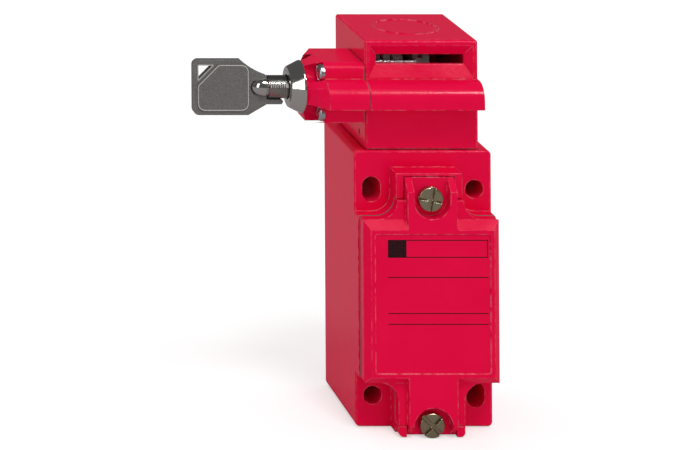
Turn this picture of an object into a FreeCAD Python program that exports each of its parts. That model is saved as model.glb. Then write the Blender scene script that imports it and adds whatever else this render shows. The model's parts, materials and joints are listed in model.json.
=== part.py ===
import FreeCAD, Part
import math
import os

# Tongue interlock switch with a key-operated lock on the side of its head.
# Millimetres.  +X is to the right as seen from the front, +Y points to the wall the
# switch is mounted on and +Z is up.  The origin is the middle of the four fixing holes,
# on the flat mounting face at the back.

V = FreeCAD.Vector
X_AXIS = V(1, 0, 0)
Y_AXIS = V(0, 1, 0)
Z_AXIS = V(0, 0, 1)

# ---------------------------------------------------------------- fixing pattern
HOLE_PITCH_X = 30.0          # between fixing holes, across
HOLE_PITCH_Z = 60.0          # between fixing holes, up
HOLE_R = 2.65                # fixing hole radius
SLOT_TRAVEL = 2.0            # how much longer than round the two slotted holes are
HOLE_RISE = 9.25             # lower holes above the underside
EAR_R = 5.4                  # clear radius round a fixing hole for a screw and washer

# ---------------------------------------------------------------- body casting
BODY_W = 40.0
BODY_ABOVE_HOLES = 11.25     # top of the body above the upper fixing holes
EAR_DEPTH = 34.0             # from the mounting face to the ears
RIM_STEP = 4.0               # the cover's rim stands this far in front of the ears
WALL = 3.0
BODY_EDGE_R = 1.4
RIM_CORNER_R = 0.8
EAR_EDGE = 0.4               # bevel round the ears' faces
CHAMBER_R = 1.5
ENTRY_R = 9.19               # minor radius of the M20 cable entry
ENTRY_LENGTH = 9.5
ENTRY_STEP = 1.2             # stop for the gland's thread
ENTRY_BACK = 15.5            # entry axis in front of the mounting face
NECK_WALL = 2.2
CHANNEL_W = 8.0              # square passage for the plunger above the wiring chamber
FOOT_BACK_WALL = 6.0         # body behind the chamber's narrow foot
LOBE_H = 3.1                 # lugs beside the lower end of the cover
GAP = 0.25                   # between the cover and the castings round it
SURROUND_ABOVE_HOLES = 6.41  # top of the raised surround above the upper fixing holes
SURROUND_STEP = 2.5          # the surround stands this far in front of the rim
SURROUND_BAR = 0.76          # height of its bar above the cover's tongue

# ---------------------------------------------------------------- cover and its gasket
GASKET_T = 0.6
COVER_SIDE_GAP = 0.4         # the cover stands this far inside the body's sides
COVER_SKIRT = 3.4            # straight side of the cover in front of the gasket
COVER_CROWN = 2.0            # height of its sloped edge
CROWN_SIDE = 1.8             # width of the sloped edge at the sides,
CROWN_LOW = 2.05             # below
CROWN_TOP = 2.55             # and above
COVER_WALL = 2.4
TONGUE_W = 14.4              # central strip that carries the upper screw
TONGUE_FOOT_W = 14.1         # the strip that carries the lower one, between the lugs
TONGUE_FOOT_GAP = 0.2        # its end above the underside
TONGUE_BEVEL = 3.5           # slope at both ends of the tongue
PANEL_INSET = 1.2            # bare label panel, inside the edge of the crown
PANEL_DEPTH = 0.3
PANEL_R = 0.8
COVER_SCREW_DROP = 0.65      # upper screw below the upper fixing holes
COVER_SCREW_LOW = 3.4        # lower screw above the underside
COVER_SCREW_R = 2.0
COVER_HEAD_R = 3.6
COVER_HEAD_T = 2.3
COVER_SCREW_L = 12.0
SEAT_DEPTH = 3.5             # screw seats below the cover's front
SEAT_TOP_R = 5.2
SEAT_LOW_R = 5.65
COVER_SLOT_W = 1.2           # long slot of a cover screw
COVER_CROSS_W = 0.8          # narrower slot across it
COVER_TURNS = (-10.0, 45.0)  # degrees the upper and the lower screw happen to stand at
DRIVE_W = 0.8                # slot of the other screws
DRIVE_TURN = 20.0
TAP_GAP = 1.5                # tapped hole beyond the end of its screw

# ---------------------------------------------------------------- coded cam
CAM_R = 9.7
CAM_LOW_GAP = 1.0            # discs above the plunger's bush
CAM_BACK_GAP = 1.05          # discs behind the head's front wall
CAM_SWING = 40.0             # degrees
AXLE_R = 2.0
AXLE_INTO_WALL = 1.6
AXLE_END_GAP = 0.4
DISC_SPANS = ((-10.6, -9.1), (-8.5, -6.4), (-5.9, -3.1), (0.6, 2.4), (2.95, 5.0))
DISC_NOTCHES = (28.0, 36.0, 44.0, 24.0, 40.0)
DISC_NOTCH_R = 1.7
DRIVING_DISC = 3             # the one that works the plunger
LOCK_HOLE_GAP = 0.3
CAM_GAP = 0.35               # driving disc to the plunger's tip
TRACK_STEPS = 8              # cuts along the way of the plunger's tip

# ---------------------------------------------------------------- turret head
HEAD_W = 33.0
HEAD_SETBACK = 0.65          # head behind the ears' faces
HEAD_SEAM = 0.4              # gasket between the body and the head
HEAD_WALL = 3.1
HEAD_EDGE = 0.5              # bevel along its edges
HEAD_FLOOR = 5.9             # solid foot of the head
SPIGOT_R = 11.5              # round spigot that the head turns on when it is set
SPIGOT_H = 5.2
SPIGOT_FIT = 0.08
PIN_R = 0.95                 # tangential pins that hold the head on its spigot
PIN_OFFSET = 10.0
PIN_RISE = 3.1               # above the head's underside
PIN_FIT = 0.02
PIN_INSET = 0.6
GROOVE_DEPTH = 2.6
BADGE_R = 9.7                # plain raised ring on top
BADGE_W = 0.9
BADGE_H = 0.25
SLOT_W = 25.7                # actuator slot
SLOT_H = 2.85
SLOT_DROP = 1.75             # its lower edge below the top of the discs
MOUTH_W = 30.4               # funnel in front of the slot
MOUTH_ABOVE = 2.9
MOUTH_BELOW = 3.65
MOUTH_DEPTH = 1.85
HEAD_ABOVE_SLOT = 4.5
NOSE_REACH = 6.65            # the nose stands this far in front of the head
NOSE_R = 5.0                 # its rounded brow
NOSE_ABOVE_AXIS = 3.9
NOSE_BELOW_AXIS = 3.45
HEAD_SEAL_INSET = 0.9
GUIDE_DROP = 1.3             # its underside below the slot
GUIDE_T = 0.7                # steel strip under the slot
GUIDE_REACH = 2.2
GUIDE_LIP = 0.5              # its lip above the slot's lower edge
GUIDE_SIDE_GAP = 0.3
GUIDE_END_X = -0.6

# ---------------------------------------------------------------- key lock on the left
LOCK_FORWARD = 7.0           # lock axis in front of the cam axis
LOCK_SEAM = 0.2              # gasket between the head and the lock housing
LOCK_SEAL_INSET = 0.3
LOCK_BLOCK_L = 11.6          # housing, from its gasket to the screw seats
LOCK_BOSS_L = 5.2            # boss beyond the screw seats
LOCK_REAR = 12.6             # housing behind the lock axis
LOCK_ABOVE_AXIS = 8.5
LOCK_BELOW_AXIS = 8.8
LOCK_EDGE_R = 1.4
LOCK_BROW_R = 2.5            # upper front edge of the housing
BOSS_HALF_Y = 5.75           # outer end of the boss
BOSS_ABOVE_AXIS = 6.7
BOSS_SLANT = 2.0
BOSS_NOSE = 0.5              # what is left of the nose there
LOCK_SCREW_Y = 5.25          # lock screws from the lock axis
LOCK_SCREW_Z = 5.8
LOCK_SCREW_DROP = 0.4        # middle of their pattern below the lock axis
LOCK_SCREW_R = 1.1
LOCK_SCREW_FIT = 0.15
LOCK_SCREW_GRIP = 1.6        # length in the head's wall
LOCK_HEAD_R = 2.45
LOCK_HEAD_T = 1.8
POCKET_GAP = 0.3             # pocket wall round a screw head
BEZEL_R = 7.65
BEZEL_NOSE_R = 5.8
BEZEL_L = 4.2
BARREL_R = 4.6
KEYWAY_R = 3.6
KEYWAY_DEPTH = 6.3
ROTOR_R = 4.0
ROTOR_L = 7.6
ROTOR_END_GAP = 0.4
ROTOR_POST_R = 2.6
CIRCLIP_T = 0.7
CIRCLIP_GAP = 1.6            # in its round
CIRCLIP_SIDE_GAP = 0.3       # on either side of it
RUN_FIT = 0.06               # radial clearance of shafts, pins and plungers

# ---------------------------------------------------------------- key
KEY_TUBE_R = 3.37
KEY_TUBE_BORE_R = 2.85
KEY_REACH = 12.2             # tube, from the bow's neck to its tip in the lock
KEY_TIP_GAP = 0.5            # tip to the rotor's face
KEY_SHANK_R = 2.65
KEY_SHANK_L = 5.2
BOW_SIZE = 16.2
BOW_NECK_L = 5.6
BOW_T = 2.4
BOW_PANEL_T = 0.35           # raised panel on each face
BOW_RIM = 1.5
BOW_CORNER_R = 1.8
BOW_HOLE = 4.6               # side of the triangular hole
BOW_BAR = 1.5                # bar between that hole and the panel
BOW_FINGER_L = 4.9
BOW_FINGER_T = 1.4
BOW_FINGER_GAP = 0.15
BOW_FINGER_TIP = 0.5

# ---------------------------------------------------------------- locking bolt
BOLT_R = 1.6
BOLT_TAIL = 6.2              # bolt inside the rotor
BOLT_COLLAR = 4.4
BOLT_COLLAR_T = 1.5
BOLT_COLLAR_GAP = 0.3
BOLT_GAP = 0.6               # bolt tip to the first disc when drawn back

# ---------------------------------------------------------------- plunger and contacts
PLUNGER_R = 2.6
PLUNGER_LIFT = 2.8
BUSH_R = 5.0
BUSH_FLANGE_R = 6.6
BUSH_FLANGE_T = 0.8
BLOCK_W = 29.0
BLOCK_BACK_T = 3.0
BLOCK_FORWARD = 8.4          # its front face in front of the plunger's axis
BLOCK_H = 33.6
BLOCK_LOW_GAP = 1.35         # contact block above the chamber's floor
BLOCK_FLOOR = 2.0
BLOCK_ROOF = 3.0
BLOCK_SLIT_GAP = 0.05        # round the contact strips
BLOCK_END_WALL = 0.4
BLOCK_BAY_W = 16.0
BLOCK_COVER_T = 1.2
BLOCK_COVER_INSET = 0.5
POLE_COUNT = 3
POLE_PITCH = 7.0
POLE_RISE = 13.6             # lowest pole above the underside of the contact block
STRIP_T = 0.8
STRIP_W = 5.2
STRIP_RISE = 2.2             # strip's blade above the middle of its terminal
STRIP_PLATE_H = 5.6
STRIP_END_GAP = 0.6
PAD_R = 1.2
PAD_T = 0.4
PAD_X = 6.3
BRIDGE_T = 0.7
BRIDGE_W = 4.0
BRIDGE_L = 15.0
CONTACT_GAP = 0.15           # left when the contacts are closed
CARRIER_W = 6.4
CARRIER_DEPTH = 7.6
CARRIER_RISE = 7.2           # carrier above the underside of the contact block
CARRIER_TOP_GAP = 0.3
CARRIER_SIDE_GAP = 0.3
CARRIER_RAIL_W = 1.2
CARRIER_RAIL_LAP = 0.8
WINDOW_SPRING_H = 3.2        # room for a contact spring under its bridge
STEM_R = 2.3
STEM_ABOVE_BLOCK = 5.0
TERMINAL_X = 11.2
TERMINAL_SCREW_R = 1.5
TERMINAL_HEAD_R = 2.5
TERMINAL_HEAD_T = 1.8
TERMINAL_SCREW_L = 5.0
TERMINAL_FIT = 0.1
CLAMP_W = 5.4
CLAMP_T = 1.0
BLOCK_SCREW_R = 1.4
BLOCK_SCREW_HEAD_R = 2.3
BLOCK_SCREW_SKIN = 1.0       # left of the back wall behind their holes
BLOCK_SCREW_RISE = 4.6       # above the underside of the contact block
SPRING_WIRE = 0.5
SPRING_SIDES = 10            # straight pieces in one turn of a spring
RETURN_SPRING_R = 2.2
RETURN_SPRING_TURNS = 4
CONTACT_SPRING_R = 1.3
CONTACT_SPRING_TURNS = 3
EARTH_SIDE = 4.4             # earth screw inside the chamber's right wall
EARTH_BACK = 2.5             # and behind the ears' faces
THROUGH = 1.0                # how far a cutting tool runs past the surface it cuts

# ---------------------------------------------------------------- values worked out
UNDERSIDE = -(HOLE_RISE + HOLE_PITCH_Z / 2)
HOLES_TOP = HOLE_RISE + HOLE_PITCH_Z
BODY_H = HOLES_TOP + BODY_ABOVE_HOLES
SURROUND_TOP = HOLES_TOP + SURROUND_ABOVE_HOLES
HALF_W = BODY_W / 2
EAR_Y = -EAR_DEPTH
RIM_Y = EAR_Y - RIM_STEP
SURROUND_Y = RIM_Y - SURROUND_STEP
COVER_Y = RIM_Y - GASKET_T
SKIRT_Y = COVER_Y - COVER_SKIRT
FRONT_Y = SKIRT_Y - COVER_CROWN
SEAT_Y = FRONT_Y + SEAT_DEPTH
SCREW_END_Y = SEAT_Y + COVER_SCREW_L
COVER_HALF = HALF_W - COVER_SIDE_GAP
COVER_SCREW_TOP = HOLES_TOP - COVER_SCREW_DROP
COVER_SCREWS = (COVER_SCREW_TOP, COVER_SCREW_LOW)
TONGUE_END = SURROUND_TOP - SURROUND_BAR - GAP
NECK_HALF = HOLE_PITCH_X / 2 - EAR_R
SHOULDER_LOW = HOLE_RISE + SLOT_TRAVEL / 2 + EAR_R
SHOULDER_TOP = HOLES_TOP - SLOT_TRAVEL / 2 - EAR_R
CHAMBER_LOW = SHOULDER_LOW + WALL
CHAMBER_TOP = SHOULDER_TOP - WALL
EARTH_X = HALF_W - WALL - EARTH_SIDE
EARTH_Y = EAR_Y + EARTH_BACK
HEAD_DEPTH = EAR_DEPTH - HEAD_SETBACK
HEAD_LOW = BODY_H + HEAD_SEAM
HEAD_Y = -HEAD_DEPTH / 2
HEAD_HALF = HEAD_W / 2
HEAD_SIDE_X = -HEAD_HALF
AXIS_H = BODY_H + SPIGOT_H + BUSH_FLANGE_T + CAM_LOW_GAP + CAM_R
CAM_Y = HEAD_WALL + CAM_BACK_GAP + CAM_R - HEAD_DEPTH
SLOT_LOW = AXIS_H + CAM_R - SLOT_DROP
SLOT_TOP = SLOT_LOW + SLOT_H
MOUTH_TOP = SLOT_TOP + MOUTH_ABOVE
MOUTH_LOW = SLOT_LOW - MOUTH_BELOW
HEAD_TOP = SLOT_TOP + HEAD_ABOVE_SLOT
NOSE_TOP = AXIS_H + NOSE_ABOVE_AXIS
NOSE_LOW = AXIS_H - NOSE_BELOW_AXIS
LOCK_Y = CAM_Y - LOCK_FORWARD
LOCK_TOP = AXIS_H + LOCK_ABOVE_AXIS
LOCK_LOW = AXIS_H - LOCK_BELOW_AXIS
LOCK_IN_X = HEAD_SIDE_X - LOCK_SEAM
SEAT_X = LOCK_IN_X - LOCK_BLOCK_L
BOSS_X = SEAT_X - LOCK_BOSS_L
BEZEL_X = BOSS_X - BEZEL_L
KEYWAY_X = BEZEL_X + KEYWAY_DEPTH
ROTOR_OUT_X = KEYWAY_X + ROTOR_END_GAP
ROTOR_IN_X = ROTOR_OUT_X + ROTOR_L
BARREL_IN_X = ROTOR_IN_X + CIRCLIP_T + 2 * CIRCLIP_SIDE_GAP
BARREL_L = BARREL_IN_X - BEZEL_X
KEY_TIP_X = ROTOR_OUT_X - KEY_TIP_GAP
TUBE_OUT_X = KEY_TIP_X - KEY_REACH
BOW_X = TUBE_OUT_X - BOW_NECK_L
BOLT_TIP_X = DISC_SPANS[0][0] - BOLT_GAP
CAVITY_HALF = HEAD_HALF - HEAD_WALL
CAVITY_LOW = HEAD_LOW + HEAD_FLOOR
BLOCK_FRONT_Y = HEAD_Y - BLOCK_FORWARD
BLOCK_LOW = CHAMBER_LOW + BLOCK_LOW_GAP
BLOCK_TOP = BLOCK_LOW + BLOCK_H
CARRIER_LOW = BLOCK_LOW + CARRIER_RISE
STEM_TOP = BLOCK_TOP + STEM_ABOVE_BLOCK
TIP_REACH = CAM_R + CAM_GAP + PLUNGER_R
TIP_Z = AXIS_H - math.sqrt(TIP_REACH ** 2 - (HEAD_Y - CAM_Y) ** 2)


def up(height):
    """Height above the underside of the body, as a Z coordinate."""
    return UNDERSIDE + height


def box(x0, x1, y0, y1, h0, h1):
    """Box between two X, two Y and two heights above the underside."""
    return Part.makeBox(x1 - x0, y1 - y0, h1 - h0, V(x0, y0, up(h0)))


def rod(axis, x, y, h, radius, length):
    """Cylinder from (x, y, height h) along an axis."""
    return Part.makeCylinder(radius, length, V(x, y, up(h)), axis)


def cone(axis, x, y, h, r0, r1, length):
    return Part.makeCone(r0, r1, length, V(x, y, up(h)), axis)


def fuse(shapes):
    first = shapes[0]
    if len(shapes) == 1:
        return first
    return first.multiFuse(shapes[1:]).removeSplitter()


def cut(shape, tools):
    return shape.cut(tools)


def path_face(points, place):
    """Face from points in a plane; a point may come with the middle point of an arc to it."""
    edges = []
    last = points[-1][-1] if isinstance(points[-1], list) else points[-1]
    for item in points:
        if isinstance(item, list):
            middle, end = item
            edges.append(Part.Arc(place(last), place(middle), place(end)).toShape())
        else:
            end = item
            if math.dist(last, end) > 1e-6:
                edges.append(Part.makeLine(place(last), place(end)))
        last = end
    return Part.Face(Part.Wire(edges))


def prism_y(points, y0, y1):
    """Outline in X and height, carried from y0 to y1."""
    face = path_face(points, lambda p: V(p[0], y0, up(p[1])))
    return face.extrude(V(0, y1 - y0, 0))


def prism_x(points, x0, x1):
    """Outline in Y and height, carried from x0 to x1."""
    face = path_face(points, lambda p: V(x0, p[0], up(p[1])))
    return face.extrude(V(x1 - x0, 0, 0))


def edges_along(shape, axis, keep=lambda e: True):
    found = []
    for edge in shape.Edges:
        if not isinstance(edge.Curve, (Part.Line, Part.LineSegment)):
            continue
        direction = edge.tangentAt(edge.FirstParameter)
        if abs(abs(direction.dot(axis)) - 1) < 1e-6 and keep(edge):
            found.append(edge)
    return found


def coil(x, y, h0, h1, radius, turns):
    """Compression spring of square wire, in straight pieces round a helix between two heights."""
    half = SPRING_WIRE / 2
    height = h1 - h0 - SPRING_WIRE
    steps = turns * SPRING_SIDES
    rings = []
    for step in range(steps + 1):
        turn = 2 * math.pi * step / SPRING_SIDES
        middle = h0 + half + height * step / steps
        rings.append([V(x + (radius + sx * half) * math.cos(turn), y + (radius + sx * half) * math.sin(turn),
                        up(middle + sz * half)) for sx, sz in ((-1, -1), (1, -1), (1, 1), (-1, 1))])
    faces = [Part.Face(Part.makePolygon(ring + ring[:1])) for ring in (rings[0], rings[-1])]
    for near, far in zip(rings, rings[1:]):
        for i in range(4):
            j = (i + 1) % 4
            for corners in ([near[i], near[j], far[j]], [near[i], far[j], far[i]]):
                faces.append(Part.Face(Part.makePolygon(corners + corners[:1])))
    spring = Part.Solid(Part.Shell(faces))
    return spring if spring.Volume > 0 else spring.reversed()


def dome(point, axis, radius):
    """Round end of a rod, in two conical steps inside the sphere of its radius."""
    angles = [0, math.radians(35), math.radians(65)]
    steps = []
    for a0, a1 in zip(angles, angles[1:]):
        low = radius * math.sin(a0)
        high = radius * math.sin(a1)
        steps.append(Part.makeCone(radius * math.cos(a0), radius * math.cos(a1), high - low,
                                   point + axis * low, axis))
    return steps


def screw(point, axis, head_r, head_t, shank_r, length, slots=((DRIVE_TURN, DRIVE_W),)):
    """Bevelled cheese-head screw: point is on the seat, axis points out of the head, and slots
    lists the turn and the width of each slot."""
    bevel = head_t * 0.2
    side = Part.makeCylinder(head_r, head_t - bevel, point, axis)
    top = Part.makeCone(head_r, head_r - bevel, bevel, point + axis * (head_t - bevel), axis)
    shank = Part.makeCylinder(shank_r, length, point, axis * -1)
    across = V(0, 0, 1) if abs(axis.z) < 0.5 else V(1, 0, 0)
    bars = []
    for turn, width in slots:
        bar = Part.makeBox(2 * head_r + 1, width, head_t, V(-head_r - 0.5, -width / 2, 0))
        bar.Placement = FreeCAD.Placement(point + axis * head_t * 0.55,
                                          FreeCAD.Rotation(across, axis.cross(across), axis, "XYZ"))
        bar.rotate(point, axis, turn)
        bars.append(bar)
    return fuse([side, top, shank]).cut(bars)


# ---------------------------------------------------------------- body casting

def rim_outline(half, foot, top):
    """Plan of the rim: a broad middle with a neck at each end, and a hollow curve round
    each fixing hole.  foot and top are the ends of the necks."""
    neck = NECK_HALF
    low = SHOULDER_LOW
    high = SHOULDER_TOP
    hole_x = HOLE_PITCH_X / 2
    low_c = low - EAR_R
    high_c = high + EAR_R
    mid = EAR_R * math.sqrt(0.5)
    edge = RIM_CORNER_R
    bend = edge * (1 - math.sqrt(0.5))
    right = [
        (neck, low_c),
        [(hole_x - mid, low_c + mid), (hole_x, low)],
        (half - edge, low),
        [(half - bend, low + bend), (half, low + edge)],
        (half, high - edge),
        [(half - bend, high - bend), (half - edge, high)],
        (hole_x, high),
        [(hole_x - mid, high_c - mid), (neck, high_c)],
        (neck, top),
    ]
    left = [
        (-neck, top),
        (-neck, high_c),
        [(mid - hole_x, high_c - mid), (-hole_x, high)],
        (edge - half, high),
        [(bend - half, high - bend), (-half, high - edge)],
        (-half, low + edge),
        [(bend - half, low + bend), (edge - half, low)],
        (-hole_x, low),
        [(mid - hole_x, low_c + mid), (-neck, low_c)],
        (-neck, foot),
    ]
    return [(neck, foot)] + right + left


def fixing_hole(x, h, slotted):
    front = EAR_Y - THROUGH
    depth = EAR_DEPTH + 2 * THROUGH
    if not slotted:
        return rod(Y_AXIS, x, front, h, HOLE_R, depth)
    half = SLOT_TRAVEL / 2
    ends = [rod(Y_AXIS, x, front, h + side * half, HOLE_R, depth) for side in (-1, 1)]
    middle = box(x - HOLE_R, x + HOLE_R, front, front + depth, h - half, h + half)
    return fuse(ends + [middle])


def fixing_holes():
    """Round holes upper right and lower left, slotted ones upper left and lower right."""
    half = HOLE_PITCH_X / 2
    return [fixing_hole(half, HOLES_TOP, False), fixing_hole(-half, HOLE_RISE, False),
            fixing_hole(-half, HOLES_TOP, True), fixing_hole(half, HOLE_RISE, True)]


def spigot():
    """Round spigot with a groove for the two tangential pins."""
    ring = rod(Z_AXIS, 0, HEAD_Y, BODY_H, SPIGOT_R, SPIGOT_H)
    middle = HEAD_SEAM + PIN_RISE
    groove = rod(Z_AXIS, 0, HEAD_Y, BODY_H + middle - PIN_R - GAP, SPIGOT_R + THROUGH, 2 * (PIN_R + GAP))
    core = rod(Z_AXIS, 0, HEAD_Y, BODY_H, SPIGOT_R - GROOVE_DEPTH, SPIGOT_H)
    return ring.cut(groove.cut(core))


def wiring_foot(y0, y1):
    """Narrow lower end of the wiring chamber, between the fixing holes."""
    half = NECK_HALF - NECK_WALL
    return box(-half, half, y0, y1, ENTRY_LENGTH + THROUGH, CHAMBER_LOW + THROUGH)


def wiring_chamber():
    """The hollow of the body: chamber, passage for the plunger and cable entry."""
    front = RIM_Y - THROUGH
    inner = HALF_W - WALL
    chamber = box(-inner, inner, front, -WALL, CHAMBER_LOW, CHAMBER_TOP)
    chamber = chamber.makeFillet(CHAMBER_R, edges_along(chamber, Y_AXIS))
    half = CHANNEL_W / 2
    channel = box(-half, half, HEAD_Y - half, HEAD_Y + half, CHAMBER_TOP - THROUGH, BODY_H - WALL)
    entry_y = -ENTRY_BACK
    entry = rod(Z_AXIS, 0, entry_y, -THROUGH, ENTRY_R, ENTRY_LENGTH + THROUGH)
    throat = rod(Z_AXIS, 0, entry_y, 0, ENTRY_R - ENTRY_STEP, ENTRY_LENGTH + 2 * THROUGH)
    bush = rod(Z_AXIS, 0, HEAD_Y, BODY_H - WALL - THROUGH, BUSH_R, SPIGOT_H + WALL + 2 * THROUGH)
    return [chamber, wiring_foot(front, -FOOT_BACK_WALL), channel, entry, throat, bush]


def surround():
    """Raised block round the upper end of the cover's tongue, open below."""
    low = SHOULDER_TOP + EAR_R + GAP
    inner = TONGUE_W / 2 + GAP
    block = box(-NECK_HALF, NECK_HALF, SURROUND_Y, RIM_Y, low, SURROUND_TOP)
    return block.cut(box(-inner, inner, SURROUND_Y - THROUGH, RIM_Y, low - THROUGH, TONGUE_END + GAP))


def lug(side):
    """Lug beside the lower end of the cover, rounded at its outer corner."""
    x0, x1 = sorted((side * (TONGUE_FOOT_W / 2 + GAP), side * NECK_HALF))
    block = box(x0, x1, SKIRT_Y, RIM_Y, 0, LOBE_H)
    outer = edges_along(block, Y_AXIS, lambda e: abs(e.CenterOfMass.z - up(0)) < 1e-6
                        and abs(e.CenterOfMass.x - side * NECK_HALF) < 1e-6)
    return block.makeFillet(BODY_EDGE_R, outer)


def body_casting():
    """Die-cast enclosure with ears, the cover's raised rim and surround, and the spigot."""
    block = box(-HALF_W, HALF_W, EAR_Y, 0, 0, BODY_H)
    block = block.makeFillet(BODY_EDGE_R, edges_along(block, Y_AXIS))
    front = [e for e in block.Edges if abs(e.BoundBox.YMax - EAR_Y) < 1e-4 and e.BoundBox.YLength < 1e-4]
    block = block.makeChamfer(EAR_EDGE, front)
    rim = prism_y(rim_outline(HALF_W, 0.0, SURROUND_TOP), RIM_Y, EAR_Y + WALL)
    casting = fuse([block, rim, spigot(), surround(), lug(-1), lug(1)])
    taps = [rod(Y_AXIS, 0, RIM_Y - THROUGH, h, COVER_SCREW_R, SCREW_END_Y - RIM_Y + THROUGH + TAP_GAP)
            for h in COVER_SCREWS]
    taps += [rod(Y_AXIS, x, -WALL - THROUGH, h, BLOCK_SCREW_R, THROUGH + WALL - BLOCK_SCREW_SKIN)
             for x, h in block_screw_spots()]
    taps.append(rod(Z_AXIS, EARTH_X, EARTH_Y, CHAMBER_LOW - TERMINAL_SCREW_L, TERMINAL_SCREW_R,
                    TERMINAL_SCREW_L + THROUGH))
    return casting.cut(fixing_holes() + wiring_chamber() + taps)


def head_gasket():
    """Flat seal between the body and the head, just inside their edges."""
    inset = HEAD_SEAL_INSET
    plate = box(inset - HEAD_HALF, HEAD_HALF - inset, inset - HEAD_DEPTH, -inset, BODY_H, HEAD_LOW)
    return plate.cut(rod(Z_AXIS, 0, HEAD_Y, BODY_H - THROUGH, SPIGOT_R + SPIGOT_FIT, HEAD_SEAM + 2 * THROUGH))


# ---------------------------------------------------------------- cover

def cover_gasket():
    """Seal the shape of the rim, open over the wiring chamber."""
    seal = prism_y(rim_outline(COVER_HALF, LOBE_H + GAP, SHOULDER_TOP + EAR_R), COVER_Y, RIM_Y)
    inner = HALF_W - WALL
    front = COVER_Y - THROUGH
    back = RIM_Y + THROUGH
    window = box(-inner, inner, front, back, CHAMBER_LOW, CHAMBER_TOP)
    top = box(-TONGUE_W / 2, TONGUE_W / 2, COVER_Y, RIM_Y, SHOULDER_TOP, TONGUE_END)
    foot = box(-TONGUE_FOOT_W / 2, TONGUE_FOOT_W / 2, COVER_Y, RIM_Y, TONGUE_FOOT_GAP, SHOULDER_LOW)
    holes = [rod(Y_AXIS, 0, front, h, COVER_SCREW_R + GAP, back - front) for h in COVER_SCREWS]
    return fuse([seal, top, foot]).cut([window, wiring_foot(front, back)] + holes)


def screw_seat(h, radius, far):
    """U-shaped hollow round a cover screw, open at the end of the tongue."""
    front = FRONT_Y - THROUGH
    round_end = rod(Y_AXIS, 0, front, h, radius, SEAT_Y - front)
    channel = box(-radius, radius, front, SEAT_Y, min(h, far), max(h, far))
    return fuse([round_end, channel])


def crown():
    """Sloped edge of the cover, from its skirt up to the flat front."""
    def rectangle(y, half, low, high):
        corners = [V(-half, y, up(low)), V(half, y, up(low)), V(half, y, up(high)), V(-half, y, up(high))]
        return Part.makePolygon(corners + corners[:1])
    foot = rectangle(SKIRT_Y, COVER_HALF, SHOULDER_LOW, SHOULDER_TOP)
    flat = rectangle(FRONT_Y, COVER_HALF - CROWN_SIDE, SHOULDER_LOW + CROWN_LOW, SHOULDER_TOP - CROWN_TOP)
    return Part.makeLoft([foot, flat], True, True)


def cover_tongue():
    """Two strips that carry the screws, each sloped at its end."""
    bevel = TONGUE_BEVEL
    top = [(COVER_Y, SHOULDER_TOP - CROWN_TOP), (COVER_Y, TONGUE_END), (FRONT_Y + bevel, TONGUE_END),
           (FRONT_Y, TONGUE_END - bevel), (FRONT_Y, SHOULDER_TOP - CROWN_TOP)]
    low = SHOULDER_LOW + CROWN_LOW
    end = TONGUE_FOOT_GAP
    foot = [(COVER_Y, low), (COVER_Y, end), (FRONT_Y + bevel, end), (FRONT_Y, end + bevel), (FRONT_Y, low)]
    return [prism_x(top, -TONGUE_W / 2, TONGUE_W / 2), prism_x(foot, -TONGUE_FOOT_W / 2, TONGUE_FOOT_W / 2)]


def front_cover():
    """Cover with a sloped crown, a bare label panel and a screw tongue at each end."""
    skirt = prism_y(rim_outline(COVER_HALF, LOBE_H + GAP, SHOULDER_TOP + EAR_R), SKIRT_Y, COVER_Y)
    cover = fuse([skirt, crown()] + cover_tongue())
    inner = HALF_W - WALL
    back = COVER_Y + THROUGH
    hollow = box(-inner, inner, FRONT_Y + COVER_WALL, back, CHAMBER_LOW, CHAMBER_TOP)
    hollow = hollow.makeFillet(CHAMBER_R, edges_along(hollow, Y_AXIS))
    half = COVER_HALF - CROWN_SIDE - PANEL_INSET
    panel = box(-half, half, FRONT_Y - THROUGH, FRONT_Y + PANEL_DEPTH,
                SHOULDER_LOW + CROWN_LOW + PANEL_INSET, SHOULDER_TOP - CROWN_TOP - PANEL_INSET)
    panel = panel.makeFillet(PANEL_R, edges_along(panel, Y_AXIS))
    seats = [screw_seat(COVER_SCREW_TOP, SEAT_TOP_R, TONGUE_END + THROUGH),
             screw_seat(COVER_SCREW_LOW, SEAT_LOW_R, -THROUGH)]
    front = FRONT_Y - THROUGH
    holes = [rod(Y_AXIS, 0, front, h, COVER_SCREW_R + GAP, back - front) for h in COVER_SCREWS]
    return cover.cut([hollow, wiring_foot(FRONT_Y + COVER_WALL, back), panel] + seats + holes)


def cover_screws():
    """The two cover screws, with a long slot and a cross slot in each head."""
    made = []
    for h, turn in zip(COVER_SCREWS, COVER_TURNS):
        slots = ((turn, COVER_SLOT_W), (turn + 90, COVER_CROSS_W))
        made.append(screw(V(0, SEAT_Y, up(h)), Y_AXIS * -1, COVER_HEAD_R, COVER_HEAD_T, COVER_SCREW_R,
                          COVER_SCREW_L, slots))
    return Part.makeCompound(made)


# ---------------------------------------------------------------- turret head

def head_mouth():
    """Funnel in front of the actuator slot, and the slot itself."""
    def rectangle(y, half, low, high):
        corners = [V(-half, y, up(low)), V(half, y, up(low)), V(half, y, up(high)), V(-half, y, up(high))]
        return Part.makePolygon(corners + corners[:1])
    front = -HEAD_DEPTH
    outer = rectangle(front, MOUTH_W / 2, MOUTH_LOW, MOUTH_TOP)
    inner = rectangle(front + MOUTH_DEPTH, SLOT_W / 2, SLOT_LOW, SLOT_TOP)
    funnel = Part.makeLoft([outer, inner], True, True)
    slot = box(-SLOT_W / 2, SLOT_W / 2, front, front + HEAD_WALL + 1, SLOT_LOW, SLOT_TOP)
    return [funnel, slot]


def nose_brow(reach, radius, low, top):
    """Side view of the nose's front: upright, then a round brow back to the level top."""
    front = -HEAD_DEPTH - reach
    bend = radius * (1 - math.sqrt(0.5))
    return [(front, low), (front, top - radius), [(front + bend, top - bend), (front + radius, top)]]


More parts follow.
